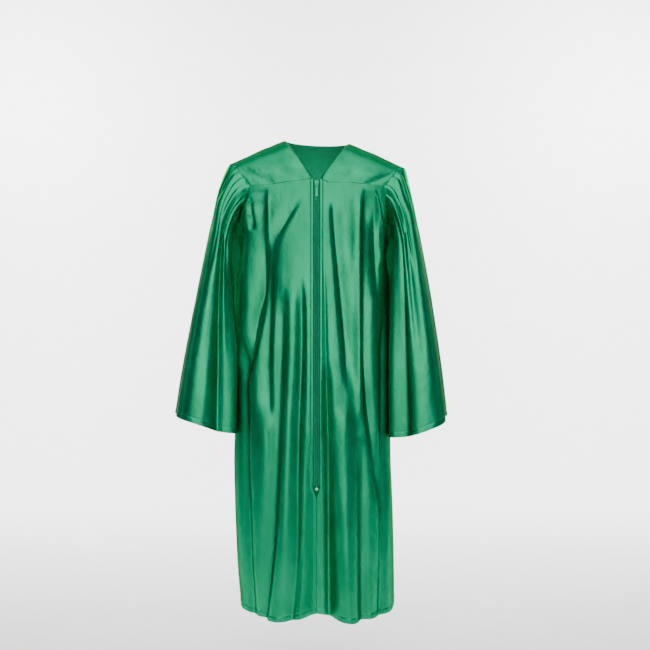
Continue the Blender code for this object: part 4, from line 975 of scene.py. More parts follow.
def crease_depth(creases, growth, x, y, z, behind):
    """How far folds or creases push the surface in at plain surface points."""
    total = np.zeros_like(x)
    for row in creases:
        t = (z - row.start) / (row.end - row.start)
        inside = smooth_step(t / growth.rise)
        if row.end > growth.hem_z:
            inside = inside * smooth_step((1 - t) / growth.fall)
        t = np.clip(t, 0, 1)
        line_x, line_y = on_body(through(row.x, t), z, behind)
        away = np.hypot(x - line_x, y - line_y)
        wide = through(row.wide, t) * np.where(x > line_x, row.skew, 1)
        total += through(row.deep, t) * inside * bell(away, wide, row.sharp)
    return total


def cloth_noise(u, v, seed):
    """Smooth values between -1 and 1 on a plane, always the same for a seed."""
    table = np.random.default_rng(seed).uniform(-1, 1, (NOISE_CELLS, NOISE_CELLS))
    i, j = np.floor(u).astype(int), np.floor(v).astype(int)
    a, b = u - i, v - j
    a, b = a * a * (3 - 2 * a), b * b * (3 - 2 * b)
    i, j = i % NOISE_CELLS, j % NOISE_CELLS
    i_next, j_next = (i + 1) % NOISE_CELLS, (j + 1) % NOISE_CELLS
    p, q, r, s = table[i, j], table[i_next, j], table[i, j_next], table[i_next, j_next]
    return (p + (q - p) * a) * (1 - b) + (r + (s - r) * a) * b


def soft_waves(u, v, seed):
    """Uneven long waves in hanging cloth. u runs across and v down, in metres."""
    lean = WAVE_LEAN * cloth_noise(u / WAVE_LEAN_ACROSS, v / WAVE_LEAN_DOWN, seed + len(WAVES))
    return sum(
        wave.deep * cloth_noise((u + wave.lean * lean * v) / wave.across, v / wave.down, seed + i)
        for i, wave in enumerate(WAVES)
    )


def body_panel(turns, z, folds, creases, behind):
    """A panel's plain points and normals, with the depths of its folds and fine creases."""
    x, y = both_sides(turns, z, behind)
    plain = np.stack([x, y, z], axis=2)
    normal = surface_normals(plain)
    outward = np.sign(np.sum(normal[..., :2] * plain[..., :2], axis=2, keepdims=True))
    normal = normal * outward
    normal[..., 2] = 0
    normal /= np.linalg.norm(normal, axis=2, keepdims=True)
    edge_x, edge_y = both_sides(np.where(turns < 0, -1, 1), z, behind)
    edge_away = np.hypot(x - edge_x, y - edge_y)
    below_yoke = z[:1] - z
    fade = smooth_step(edge_away / SEAM_FADE) * smooth_step(below_yoke / YOKE_FADE)
    near_seam = smooth_step(edge_away / FINE_SEAM_FADE) * smooth_step(below_yoke / FINE_YOKE_FADE)
    reach = np.cumsum(np.hypot(np.gradient(x, axis=1), np.gradient(y, axis=1)), axis=1)
    hang = mix(WAVES_AT_YOKE, 1, smooth_step(below_yoke / WAVES_GROW))
    push = crease_depth(folds, FOLD_GROWTH, x, y, z, behind) * fade
    fine = crease_depth(creases, CREASE_GROWTH, x, y, z, behind) * near_seam
    fine += soft_waves(reach, -z, BACK_SEED if behind else FRONT_SEED) * near_seam * hang
    return plain, normal, push, fine


def groove(away):
    """The dent along a row of stitches."""
    return GROOVE_DEEP * np.exp(-((away / GROOVE_WIDE) ** 2))


def hem_dent(points, seed):
    """The dent of the hem's stitches with the small puckers between them."""
    up = lengths(points[::-1])[::-1]
    reach = np.cumsum(np.linalg.norm(np.gradient(points[-1], axis=0), axis=1))[None, :]
    pucker = PUCKER * cloth_noise(reach / PUCKER_ACROSS, up / PUCKER_DOWN, seed)
    pucker = pucker * np.exp(-(((up - HEM_STITCH) / PUCKER_REACH) ** 2))
    fold_over = -HEM_PROUD * smooth_step((HEM_STITCH - up) / HEM_STEP)
    return groove(up - HEM_STITCH) + pucker + fold_over


def front_panel(side):
    """Points of one front, from the middle to the armhole and side, yoke seam to hem."""
    top_turn = mix(v_turn(side), 1, FRONT_SHARES)
    top_x = np.abs(body_section(side, top_turn, np.full_like(top_turn, CORNER_Z), False)[0])
    top_z = seam_height(side, top_x) - SEAM_GAP
    bottom_z = hem_height(top_x, False)
    z = panel_heights(underarm(side), top_z[None, :], bottom_z[None, :])
    inner = turn_at(side, front_edge(z), z, False)
    turns = side.sign * mix(inner, 1, FRONT_SHARES[None, :])
    plain, normal, push, fine = body_panel(turns, z, FRONT_FOLDS, FRONT_CREASES, False)
    from_edge = np.abs(plain[..., 0]) - front_edge(z)
    shut = smooth_step((EDGE_CLOSED_Z - z) / PLACKET_SHUT_GROW)
    raised = PLACKET_PROUD * smooth_step((PLACKET - from_edge) / PLACKET_STEP)
    placket = (groove(from_edge - PLACKET) - raised) * (1 - PLACKET_EASED * shut)
    flat = smooth_step((from_edge - FLAT_EDGE) / FLAT_FADE)
    folded = plain - normal * (push + fine * flat + placket)[..., None]
    return folded - normal * hem_dent(folded, FRONT_HEM_SEED + side.sign)[..., None], normal


def back_panel():
    """Points of the back, from the right side to the left, yoke seam to hem."""
    turn = np.linspace(-1, 1, BACK_GRID + 1)
    x = both_sides(turn, np.full_like(turn, CORNER_Z), True)[0]
    top_z = back_seam_height(x) - SEAM_GAP
    bottom_z = hem_height(x, True)
    ends = mix(underarm(RIGHT), underarm(LEFT), (turn + 1) / 2)[None, :]
    z = panel_heights(ends, top_z[None, :], bottom_z[None, :])
    turns = np.broadcast_to(turn, z.shape)
    plain, normal, push, fine = body_panel(turns, z, BACK_FOLDS, BACK_CREASES, True)
    folded = plain - normal * (push + fine)[..., None]
    return folded - normal * hem_dent(folded, BACK_HEM_SEED)[..., None], normal


def panel_heights(side_ends, top_z, bottom_z):
    """Heights of a panel's rows: along the armhole, then down to the hem."""
    upper = armhole_shares()[:, None]
    lower = LOWER_SHARES[1:, None]
    return np.concatenate([mix(top_z, side_ends, upper), mix(side_ends, bottom_z, lower)])


def drape_depth(drapes, rows, columns):
    """Soft creases over a yoke's grid, as depths."""
    s, t = np.meshgrid(np.linspace(0, 1, rows), np.linspace(0, 1, columns), indexing="ij")
    total = np.zeros_like(s)
    for row in drapes:
        run = np.array([row.across_b - row.across_a, row.down_b - row.down_a])
        along = ((t - row.across_a) * run[0] + (s - row.down_a) * run[1]) / (run @ run)
        held = np.clip(along, 0, 1)
        away = np.hypot(t - row.across_a - held * run[0], s - row.down_a - held * run[1])
        total += row.deep * np.exp(-((away / row.wide) ** 2)) * (1 - DRAPE_EASED * held)
    edge = smooth_step(t / YOKE_EDGE) * smooth_step((1 - t) / YOKE_EDGE)
    edge = edge * smooth_step(s / YOKE_SHOULDER_EDGE) * smooth_step((1 - s) / YOKE_SEAM_EDGE)
    ripple = sum(
        row.deep * cloth_noise(t * row.across, s * row.down, row.seed) for row in YOKE_RIPPLES
    )
    return (total + ripple) * edge


def outward_normals(points, centre):
    """Unit normals of a grid, facing away from a centre."""
    normal = surface_normals(points)
    facing = np.sum(normal * (points - np.asarray(centre)), axis=2, keepdims=True)
    return normal * np.sign(facing)


def front_yoke(side):
    """Points and normals of one front yoke."""
    points = front_yoke_points(side, FRONT_YOKE_COLUMNS, YOKE_ROWS)
    normal = outward_normals(points, YOKE_CENTRE)
    push = drape_depth(YOKE_DRAPES[side.name], *points.shape[:2])
    inward = lengths(points, 1)
    push += groove(inward - NECK_STITCH - NECK_STITCH_FRONT)
    rolled = np.clip(1 - inward / NECK_ROLL_WIDE, 0, 1)
    push += NECK_ROLL * (1 - np.sqrt(1 - NECK_ROLL_ROUND * rolled**2))
    return points - normal * push[..., None], normal


def back_yoke():
    """Points and normals of the back yoke."""
    points = back_yoke_points(BACK_YOKE_COLUMNS, YOKE_ROWS)
    normal = outward_normals(points, YOKE_CENTRE)
    push = drape_depth(YOKE_DRAPES["back"], *points.shape[:2])
    share = np.abs(np.linspace(-1, 1, points.shape[1]))[None, :]
    at_neck = smooth_step((NECK_SHARE - share) / NECK_END)
    down = lengths(points)
    raised = NECK_PROUD * smooth_step((NECK_STITCH - down) / NECK_STEP)
    push += (groove(down - NECK_STITCH) - raised) * at_neck
    return points - normal * push[..., None], normal


def gather_depth(side, turns, along):
    """How far the finer creases push a ring of the sleeve in."""
    total = np.zeros_like(turns)
    for row in SLEEVE_GATHERS[side.name]:
        t = (along - row.start) / (row.end - row.start)
        if not 0 <= t < 1:
            continue
        rise = smooth_step(along / CAP_GATHER_RISE if row.start == 0 else t / GATHER_RISE)
        centre, wide, deep = (float(through(line, t)) for line in (row.turn, row.wide, row.deep))
        away = (turns - centre + 180) % 360 - 180
        wide = wide * np.where(away * np.sign(centre) > 0, row.skew, 1)
        total += deep * rise * bell(away, wide, row.sharp)
    return total


def sleeve_rings(side):
    """Points of one sleeve: rings from the armhole to the cuff."""
    places, *lines = rows_of(
        SLEEVES[side.name], "along", "outer_x", "outer_z", "inner_x", "inner_z", "half_depth"
    )
    turns = sleeve_turns()
    armhole = armhole_points(side, turns)
    armhole[:, 0] += side.sign * ARMHOLE_GAP
    c = signed_power(np.cos(np.radians(turns)), TUBE_POWER)
    s = signed_power(np.sin(np.radians(turns)), TUBE_POWER)
    inside = 1 - smooth_step((-c - WAVES_INNER) / WAVES_INNER_FADE)
    rings, outs = [], []
    for along in SLEEVE_SHARES:
        outer_x, outer_z, inner_x, inner_z, half = (
            float(smooth_curve(along, places, line)) for line in lines
        )
        x = side.sign * mix(inner_x, outer_x, (c + 1) / 2)
        z = mix(inner_z, outer_z, (c + 1) / 2) - CUFF_DIP[side.name] * along * s * s
        early = min(along / CAP_BLEND, 1)
        ring = mix(armhole, np.stack([x, -half * s, z], axis=1), early * (2 - early))
        half_wide = (outer_x - inner_x) / 2
        out = np.stack([side.sign * c * half, -s * half_wide * TUBE_DEEPER, 0 * c], axis=1)
        out /= np.linalg.norm(out, axis=1, keepdims=True)
        out[:, 2] = CAP_LIFT * (1 - smooth_step(along / CAP_BLEND)) * np.clip(c, 0, 1)
        puff = CAP_PUFF * smooth_step(along / ROOT_RISE) * (1 - smooth_step(along / CAP_PUFF_END))
        puffed = puff * np.clip(c + CAP_REACH, 0, 1)
        down = np.full_like(turns, along * SLEEVE_LENGTH)
        waves = soft_waves(turns / 180 * SLEEVE_HALF_ROUND, down, SLEEVE_SEEDS[side.name])
        waves = waves * smooth_step(along / SLEEVE_WAVES_GROW) * mix(WAVES_AT_INNER, 1, inside)
        fine = gather_depth(side, turns, along) + waves
        ring += out * (puffed - sleeve_fold_depth(side, turns, along) - fine)[:, None]
        rings.append(ring)
        outs.append(out)
    rings, outs = np.array(rings), np.array(outs)
    return rings - outs * hem_dent(rings, CUFF_HEM_SEED + side.sign)[..., None], outs


def turned(points, normal):
    """Two grids with rows for columns."""
    return points.transpose(1, 0, 2), normal.transpose(1, 0, 2)


def tuck(points, normal):
    """The grid with its first row turned in below its neighbour."""
    away = points[0] - points[2]
    away = away / np.linalg.norm(away, axis=-1, keepdims=True)
    rows = [
        (points[0] + away * TUCK_LENGTH * length - normal[0] * TUCK_UNDER * under)[None]
        for length, under in TUCK_STEPS
    ]
    return np.concatenate([*rows, points]), np.concatenate([normal[:1]] * len(rows) + [normal])


def tucked(points, normal, sides):
    """The grid with its top, and its sides if it has any, turned in below its neighbours."""
    points, normal = tuck(points, normal)
    if sides:
        points, normal = turned(points, normal)
        for _ in range(2):  # the first column, then the last
            points, normal = tuck(points, normal)
            points, normal = points[::-1], normal[::-1]
        points, normal = turned(points, normal)
    return points


def front_y(z):
    """The y of the plain front at the zip."""
    return -float(body_depth(np.array(z), False))


def at_distance(points, normal, distance, from_end=False):
    """The line over a grid's columns at a distance from its first or last row."""
    if from_end:
        points, normal = points[::-1], normal[::-1]
    reach = lengths(points)
    return [
        np.array([point_at(distance, reach[:, j], grid[:, j]) for j in range(grid.shape[1])])
        for grid in (points, normal)
    ]


def new_object(name, mesh, finish, body="gown"):
    """An object of the dressed model, which rides on a body."""
    made = bpy.data.objects.new(name, mesh)
    bpy.context.scene.collection.objects.link(made)
    mesh.materials.append(finish)
    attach(made, body)
    return made


def edit_mesh(mesh, change):
    """A change to a mesh that needs a bmesh."""
    bm = bmesh.new()
    bm.from_mesh(mesh)
    change(bm)
    bm.to_mesh(mesh)
    bm.free()


def cloth_mesh(name, points, facing, closed):
    """A grid of points as quads, with its lengths across and down as its UV map."""
    if closed:
        points = np.concatenate([points, points[:, :1]], axis=1)
    rows, columns = points.shape[:2]
    index = np.arange(rows * columns).reshape(rows, columns)
    corners = (index[:-1, :-1], index[1:, :-1], index[1:, 1:], index[:-1, 1:])
    quads = np.stack(corners, axis=2).reshape(-1, 4)
    mesh = bpy.data.meshes.new(name)
    mesh.from_pydata(points.reshape(-1, 3).tolist(), [], quads.tolist())
    u, v = lengths(points, 1), lengths(points)
    u = np.broadcast_to(np.median(u, axis=0), u.shape) if closed else u - u[:, columns // 2, None]
    uv = mesh.uv_layers.new(name=CLOTH_MAP)
    pair = np.stack([u, v], axis=2).reshape(-1, 2)
    uv.data.foreach_set("uv", pair[quads.reshape(-1)].astype(np.float32).ravel())
    mesh.update()
    if closed:
        edit_mesh(mesh, lambda bm: bmesh.ops.remove_doubles(bm, verts=bm.verts, dist=WELD))
    sample = mesh.polygons[len(mesh.polygons) * 2 // 3]
    if sample.normal.dot(Vector(facing(sample.center))) < 0:
        mesh.flip_normals()
    mesh.shade_smooth()
    return mesh


def add_cloth(name, points, node, finish, reverse, facing, closed=False):
    """A thin cloth shell that stands for a solid, with the cloth's duller side inside."""
    made = new_object(name, cloth_mesh(name, points, facing, closed), finish)
    made.data.materials.append(reverse)
    shell = made.modifiers.new("wall", "SOLIDIFY")
    shell.thickness = SHELL
    shell.offset = -1
    shell.material_offset = 1
    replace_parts(made, node)
    return made


def ring_faces(base, sides, rings):
    """Faces round rings of points that follow each other, and over both ends."""
    faces = []
    for m in range(rings - 1):
        for n in range(sides):
            a, b = base + m * sides + n, base + m * sides + (n + 1) % sides
            faces.append((a, b, b + sides, a + sides))
    last = base + (rings - 1) * sides
    return faces + [tuple(range(base, base + sides))[::-1], tuple(range(last, last + sides))]


def closed_mesh(name, verts, faces, smooth):
    """A mesh from lists of points and faces, with its normals turned outwards."""
    mesh = bpy.data.meshes.new(name)
    mesh.from_pydata([tuple(v) for v in verts], [], faces)
    edit_mesh(mesh, lambda bm: bmesh.ops.recalc_face_normals(bm, faces=bm.faces))
    if smooth:
        mesh.shade_smooth()
    return mesh


def stitches(name, lines, pitch, length, finish):
    """Short threads along lines, each a small capsule that sits on the cloth."""
    verts, faces = [], []
    for line, out in lines:
        reach = lengths(line)
        for k in range(int(reach[-1] / pitch)):
            start, end = (point_at(d, reach, line) for d in (k * pitch, k * pitch + length))
            up = point_at(k * pitch, reach, out)
            size = np.linalg.norm(end - start)
            if size < length * STITCH_LEAST:
                continue
            along = (end - start) / size
            up -= along * (up @ along)
            up /= np.linalg.norm(up)
            across = np.cross(along, up)
            faces += ring_faces(len(verts), STITCH_SIDES, len(STITCH_RINGS))
            for ring in STITCH_RINGS:
                centre = start + along * size * ring.share + up * THREAD * (STITCH_LIFT + ring.high)
                for n in range(STITCH_SIDES):
                    a = 2 * math.pi * n / STITCH_SIDES
                    spoke = up * math.sin(a) + across * math.cos(a)
                    verts.append(centre + THREAD * ring.fat * spoke)
    return new_object(name, closed_mesh(name, verts, faces, True), finish)


# What the pieces of one small part share
Kit = namedtuple("Kit", "finish body slot matrix")


def outline_block(name, outline, y_front, y_back, bevel, kit):
    """A flat block with a closed outline in x and z, and rounded edges."""
    bm = bmesh.new()
    face = bm.faces.new([bm.verts.new((x, y_front, z)) for x, z in outline])
    moved = bmesh.ops.extrude_face_region(bm, geom=[face])["geom"]
    for item in moved:
        if isinstance(item, bmesh.types.BMVert):
            item.co.y = y_back
    bmesh.ops.recalc_face_normals(bm, faces=bm.faces)
    return finish_block(name, bm, bevel, kit)


def finish_block(name, bm, bevel, kit):
    """A bmesh as a bevelled piece in the zip's own frame."""
    mesh = bpy.data.meshes.new(name)
    bm.to_mesh(mesh)
    bm.free()
    mesh.transform(kit.matrix)
    mesh.shade_smooth()
    made = new_object(name, mesh, kit.finish, kit.body)
    edge = made.modifiers.new("edges", "BEVEL")
    edge.width = bevel
    edge.segments = BEVEL_STEPS
    edge.limit_method = "ANGLE"
    edge.angle_limit = math.radians(BEVEL_FROM)
    made.modifiers.new("shade", "WEIGHTED_NORMAL")
    return made


def rounded_box(half_top, half_low, top, low, corner):
    """A closed outline with rounded corners, from its half widths and its two heights."""
    corners = (
        (half_top - corner, top - corner, 0),
        (-half_top + corner, top - corner, 90),
        (-half_low + corner, low + corner, 180),
        (half_low - corner, low + corner, 270),
    )
    outline = []
    for x, z, start in corners:
        for k in range(CORNER_STEPS + 1):
            a = math.radians(start + 90 * k / CORNER_STEPS)
            outline.append((x + corner * math.cos(a), z + corner * math.sin(a)))
    return outline


def bar_along(bm, path, half_wide, half_thick):
    """A bar with a rounded section along a path in y and z."""
    rings = []
    for i, (y, z) in enumerate(path):
        y0, z0 = path[max(i - 1, 0)]
        y1, z1 = path[min(i + 1, len(path) - 1)]
        size = math.hypot(y1 - y0, z1 - z0)
        across_y, across_z = -(z1 - z0) / size, (y1 - y0) / size
        ring = []
        for n in range(BAR_SIDES):
            a = 2 * math.pi * n / BAR_SIDES
            c, s = (float(signed_power(value, BAR_POWER)) for value in (math.cos(a), math.sin(a)))
            out = half_thick * s
            ring.append(bm.verts.new((half_wide * c, y + across_y * out, z + across_z * out)))
        rings.append(ring)
    for a, b in zip(rings, rings[1:]):
        for n in range(BAR_SIDES):
            m = (n + 1) % BAR_SIDES
            bm.faces.new((a[n], a[m], b[m], b[n]))
    bm.faces.new(rings[0][::-1])
    bm.faces.new(rings[-1])


def zip_matrix():
    """The zip's own frame at the slider, leaning as the zip does there."""
    middle_z = (SLIDER_TOP_Z + SLIDER_BOTTOM_Z) / 2
    low_z = SLIDER_BOTTOM_Z - PULL_LENGTH
    lean = math.atan2(front_y(middle_z) - front_y(low_z), middle_z - low_z)
    place = Matrix.Translation((0, front_y(middle_z) + TAPE_BEHIND, middle_z))
    return place @ Matrix.Rotation(-lean, 4, "X")


def add_teeth(edges, finish):
    """Two rows of moulded teeth that mesh at the middle."""
    verts, faces = [], []
    z = SLIDER_BOTTOM_Z - 2 * SEAM_GAP - TOOTH_PITCH / 2
    sign = -1
    while z > ZIP_END_Z + TOOTH_PITCH / 2:
        edge_y = sum(np.interp(-z, -edge[:, 2], edge[:, 1]) for edge in edges) / 2
        y = edge_y + TAPE_BEHIND - CHAIN_PROUD
        faces += ring_faces(len(verts), TOOTH_POINTS, len(TOOTH_RINGS))
        for depth, shrink in TOOTH_RINGS:
            inner, outer = -TOOTH_MESH * shrink, CHAIN_HALF * mix(TOOTH_FRONT, 1.0, shrink)
            waist = mix(inner, outer, 0.5)
            half = TOOTH_PITCH * TOOTH_SHARE * shrink
            thin = TOOTH_WAIST * half
            section = (
                (inner, -half), (inner, half), (waist, thin),
                (outer, half), (outer, -half), (waist, -thin),
            )
            verts += [(sign * x, y + depth, z + dz) for x, dz in section]
        z -= TOOTH_PITCH
        sign = -sign
    mesh = closed_mesh("zip_teeth_rows", verts, faces, False)
    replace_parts(new_object("zip_teeth_rows", mesh, finish), "zip_chain")


def add_slider(finish):
    """The slider's plates, post and bridge."""
    kit = Kit(finish, "gown", "zip_metal", zip_matrix())
    half = (SLIDER_TOP_Z - SLIDER_BOTTOM_Z) / 2
    outline = rounded_box(SLIDER_HALF, SLIDER_HALF * SLIDER_TAPER, half, -half, PLATE_CORNER)
    post = rounded_box(POST_HALF, POST_HALF * POST_TAPER, half - PLATE, 0.0, POST_CORNER)
    front_y, back_y = -(PLATE_CLEAR + PLATE), TAPE_WALL + PLATE_CLEAR
    front = outline_block("zip_slider_front", outline, front_y, front_y + PLATE, PLATE_BEVEL, kit)
    outline_block("zip_slider_back", outline, back_y, back_y + PLATE, PLATE_BEVEL, kit)
    outline_block("zip_slider_post", post, front_y + PLATE / 2, back_y + PLATE / 2, POST_BEVEL, kit)
    middle = (BRIDGE_TOP + BRIDGE_BOTTOM) / 2
    reach = (BRIDGE_TOP - BRIDGE_BOTTOM) / 2 - BRIDGE_HALF
    foot = PLATE * BRIDGE_FOOT
    path = []
    for k in range(BRIDGE_STEPS + 1):
        a = math.pi * k / BRIDGE_STEPS
        out = (BRIDGE_OUT - BRIDGE_HALF + foot) * math.sin(a) ** BRIDGE_POWER
        path.append((front_y + foot - out, middle + reach * math.cos(a)))
    bm = bmesh.new()
    bar_along(bm, path, BRIDGE_HALF * BRIDGE_BROAD, BRIDGE_HALF)
    bridge = finish_block("zip_slider_bridge", bm, BRIDGE_BEVEL, kit)
    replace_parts(front, "zip_slider")
    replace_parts(bridge, "zip_slider")


def add_pull(finish):
    """The pull tab: a plate with a window, whose upper bar turns under the bridge."""
    pivot_y = -(PLATE_CLEAR + PLATE) - (BRIDGE_OUT - 2 * BRIDGE_HALF) / 2
    pivot_z = BRIDGE_BOTTOM + 2 * BRIDGE_HALF + PULL_PIN / 2 + PIN_CLEAR
    matrix = zip_matrix() @ Matrix.Translation((0, pivot_y, pivot_z))
    kit = Kit(finish, "pull", "zip_metal", matrix)
    top = PULL_PIN / 2
    outer = rounded_box(PULL_HALF * PULL_TAPER, PULL_HALF, top, -PULL_LENGTH, PULL_CORNER)
    window = rounded_box(WINDOW_HALF, WINDOW_HALF, -top, -WINDOW_LENGTH, WINDOW_CORNER)
    bm = bmesh.new()
    loops = []
    for y in (-PULL_WALL / 2, PULL_WALL / 2):
        for outline in (outer, window):
            loops.append([bm.verts.new((x, y, z)) for x, z in outline])
    for a, b in ((0, 1), (2, 3), (0, 2), (1, 3)):
        for n in range(len(outer)):
            m = (n + 1) % len(outer)
            bm.faces.new((loops[a][n], loops[a][m], loops[b][m], loops[b][n]))
    bmesh.ops.recalc_face_normals(bm, faces=bm.faces)
    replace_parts(finish_block("zip_pull_tab", bm, PULL_BEVEL, kit), "zip_pull")
    low, high = (-PULL_LENGTH * share for share in GRIP_REACH)
    grip = rounded_box(PULL_HALF * GRIP_TOP, PULL_HALF * GRIP_LOW, high, low, GRIP_CORNER)
    out = PULL_WALL * GRIP_OUT
    outline_block("zip_pull_grip", grip, -out, out, GRIP_BEVEL, kit)


def add_stop(finish):
    """The bottom stop, pointing up over the chain's end."""
    top = ZIP_END_Z - SEAM_GAP
    y = front_y(ZIP_END_Z) + TAPE_BEHIND - STOP_FRONT
    low, shoulder = top - STOP_HEIGHT, top - STOP_HEIGHT * STOP_SHOULDER
    cut, tip, neck = STOP_CUT, (STOP_TIP, top - STOP_CUT / 2), STOP_HALF * STOP_NECK
    outline = (
        tip, (-tip[0], tip[1]), (-neck, shoulder + cut), (-STOP_HALF, shoulder),
        (-STOP_HALF, low + cut), (-STOP_HALF + cut, low), (STOP_HALF - cut, low),
        (STOP_HALF, low + cut), (STOP_HALF, shoulder), (neck, shoulder + cut),
    )
    kit = Kit(finish, "gown", "zip_stop", Matrix())
    stop = outline_block("bottom_stop", outline, y, y + STOP_DEPTH, STOP_BEVEL, kit)
    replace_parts(stop, "zip_bottom_stop")


Bump = namedtuple("Bump", "source strength distance")


class Nodes:
    """A material's node tree with short calls."""

    def __init__(self, name):
        self.material = bpy.data.materials.new(name)
        self.material.use_nodes = True
        self.tree = self.material.node_tree
        self.shader = self.tree.nodes["Principled BSDF"]

    def add(self, kind, **values):
        """A node with its inputs, or else its own settings, set."""
        node = self.tree.nodes.new(kind)
        for key, value in values.items():
            if key in node.inputs:
                node.inputs[key].default_value = value
            else:
                setattr(node, key.lower(), value)
        return node

    def link(self, a, output, b, entry):
        self.tree.links.new(a.outputs[output], b.inputs[entry])

    def set(self, node, values):
        for entry, value in values.items():
            node.inputs[entry].default_value = value

    def place(self, scale, cloth=False, turn=0.0):
        """Coordinates stretched by a scale: the object's, or the cloth's own map in metres."""
        if cloth:
            coords, output = self.add("ShaderNodeUVMap", uv_map=CLOTH_MAP), "UV"
        else:
            coords, output = self.add("ShaderNodeTexCoord"), "Object"
        mapping = self.add("ShaderNodeMapping", Scale=scale, Rotation=(0, 0, turn))
        self.link(coords, output, mapping, "Vector")
        return mapping

    def noise(self, scale, detail, rough, cloth=False):
        noise = self.add("ShaderNodeTexNoise", Scale=1.0, Detail=detail, Roughness=rough)
        self.link(self.place(scale, cloth), "Vector", noise, "Vector")
        return noise

    def wave(self, direction, distortion, place, detail=2.0):
        """Fine parallel ribs."""
        wave = self.add("ShaderNodeTexWave", wave_type="BANDS", bands_direction=direction)
        self.set(wave, {"Scale": 1.0, "Distortion": distortion, "Detail": detail})
        self.link(place, "Vector", wave, "Vector")
        return wave

    def ramp(self, noise, low, high, first, last):
        """A value that runs from first to last as the noise goes from low to high."""
        ramp = self.add("ShaderNodeMapRange")
        self.set(ramp, {"From Min": low, "From Max": high, "To Min": first, "To Max": last})
        self.link(noise, "Fac", ramp, "Value")
        return ramp

    def roughness(self, noise, first, last):
        """The roughness, from first to last as the noise rises."""
        self.link(self.ramp(noise, 0.3, 0.7, first, last), "Result", self.shader, "Roughness")

    def cloud(self, scale, dark, light, rough=0.6, low=0.3, high=0.7):
        """The base colour, in soft clouds between two colours."""
        share = self.ramp(self.noise(scale, 3.0, rough), low, high, 0.0, 1.0)
        mixed = self.add("ShaderNodeMix", data_type="RGBA")
        self.set(mixed, {MIX_A: (*dark, 1), MIX_B: (*light, 1)})
        self.link(share, "Result", mixed, MIX_SHARE)
        self.link(mixed, MIX_RESULT, self.shader, "Base Color")

    def relief(self, *layers):
        """Bumps over each other."""
        under = None
        for row in layers:
            bump = self.add("ShaderNodeBump", Strength=row.strength, Distance=row.distance)
            self.link(row.source, "Fac", bump, "Height")
            if under:
                self.link(under, "Normal", bump, "Normal")
            under = bump
        self.link(under, "Normal", self.shader, "Normal")


def satin_material(name, seed):
    """Shiny satin: floats run down the cloth, with soft clouding and a fine weave."""
    made = Nodes(name)
    made.cloud((18, 18, 9), rough=0.55, low=0.32, high=0.68, dark=SATIN_DEEP, light=SATIN_LIGHT)
    slubs = made.noise((420, 26, 1), detail=2.0, rough=0.6, cloth=True)
    made.roughness(slubs, *SATIN_ROUGH)
    place = made.place((1500, 1500, 1), cloth=True, turn=WEAVE_TURN + WEAVE_TURN_STEP * seed)
    weave = made.wave("DIAGONAL", distortion=1.2, place=place, detail=1.0)
    crumple = made.noise((95, 95, 55), detail=3.0, rough=0.55)
    fine = made.noise((380, 380, 190), detail=2.0, rough=0.6)
    made.relief(
        Bump(crumple, strength=0.50, distance=0.0013),
        Bump(fine, strength=0.45, distance=0.0006),
        Bump(weave, strength=0.12, distance=0.00006),
    )
    tangent = made.add("ShaderNodeTangent", direction_type="UV_MAP", uv_map=CLOTH_MAP)
    made.link(tangent, "Tangent", made.shader, "Tangent")
    made.set(made.shader, SATIN_SHADER)
    return made.material


def plain_material(row):
    """A small part's material, with uneven colour and a fine grain."""
    made = Nodes(row.name)
    made.cloud((row.grain * CLOUD_SHARE,) * 3, dark=row.dark, light=row.light)
    fine = made.noise((row.grain,) * 3, detail=2.0, rough=0.6)
    made.roughness(fine, row.rough * (1 - ROUGH_SPAN), row.rough * (1 + ROUGH_SPAN))
    made.relief(Bump(fine, strength=0.4, distance=row.depth))
    made.set(made.shader, {
        "Metallic": row.metallic, "Coat Weight": row.coat,
        "Specular IOR Level": 0.25, "Sheen Weight": row.sheen,
    })
    return made.material


def tape_material():
    """Woven zip tape: a herringbone of fine ribs that run down."""
    made = Nodes("zip_tape_weave")
    made.cloud((60, 60, 40), dark=TAPE_DEEP, light=TAPE_LIGHT)
    ribs = made.wave("X", distortion=0.6, place=made.place((420, 1, 60)))
    picks = made.wave("Z", distortion=0.8, place=made.place((1, 1, 520)))
    made.relief(
        Bump(ribs, strength=0.6, distance=0.00025), Bump(picks, strength=0.5, distance=0.0002)
    )
    made.set(made.shader, {"Roughness": 0.7, "Specular IOR Level": 0.2})
    return made.material


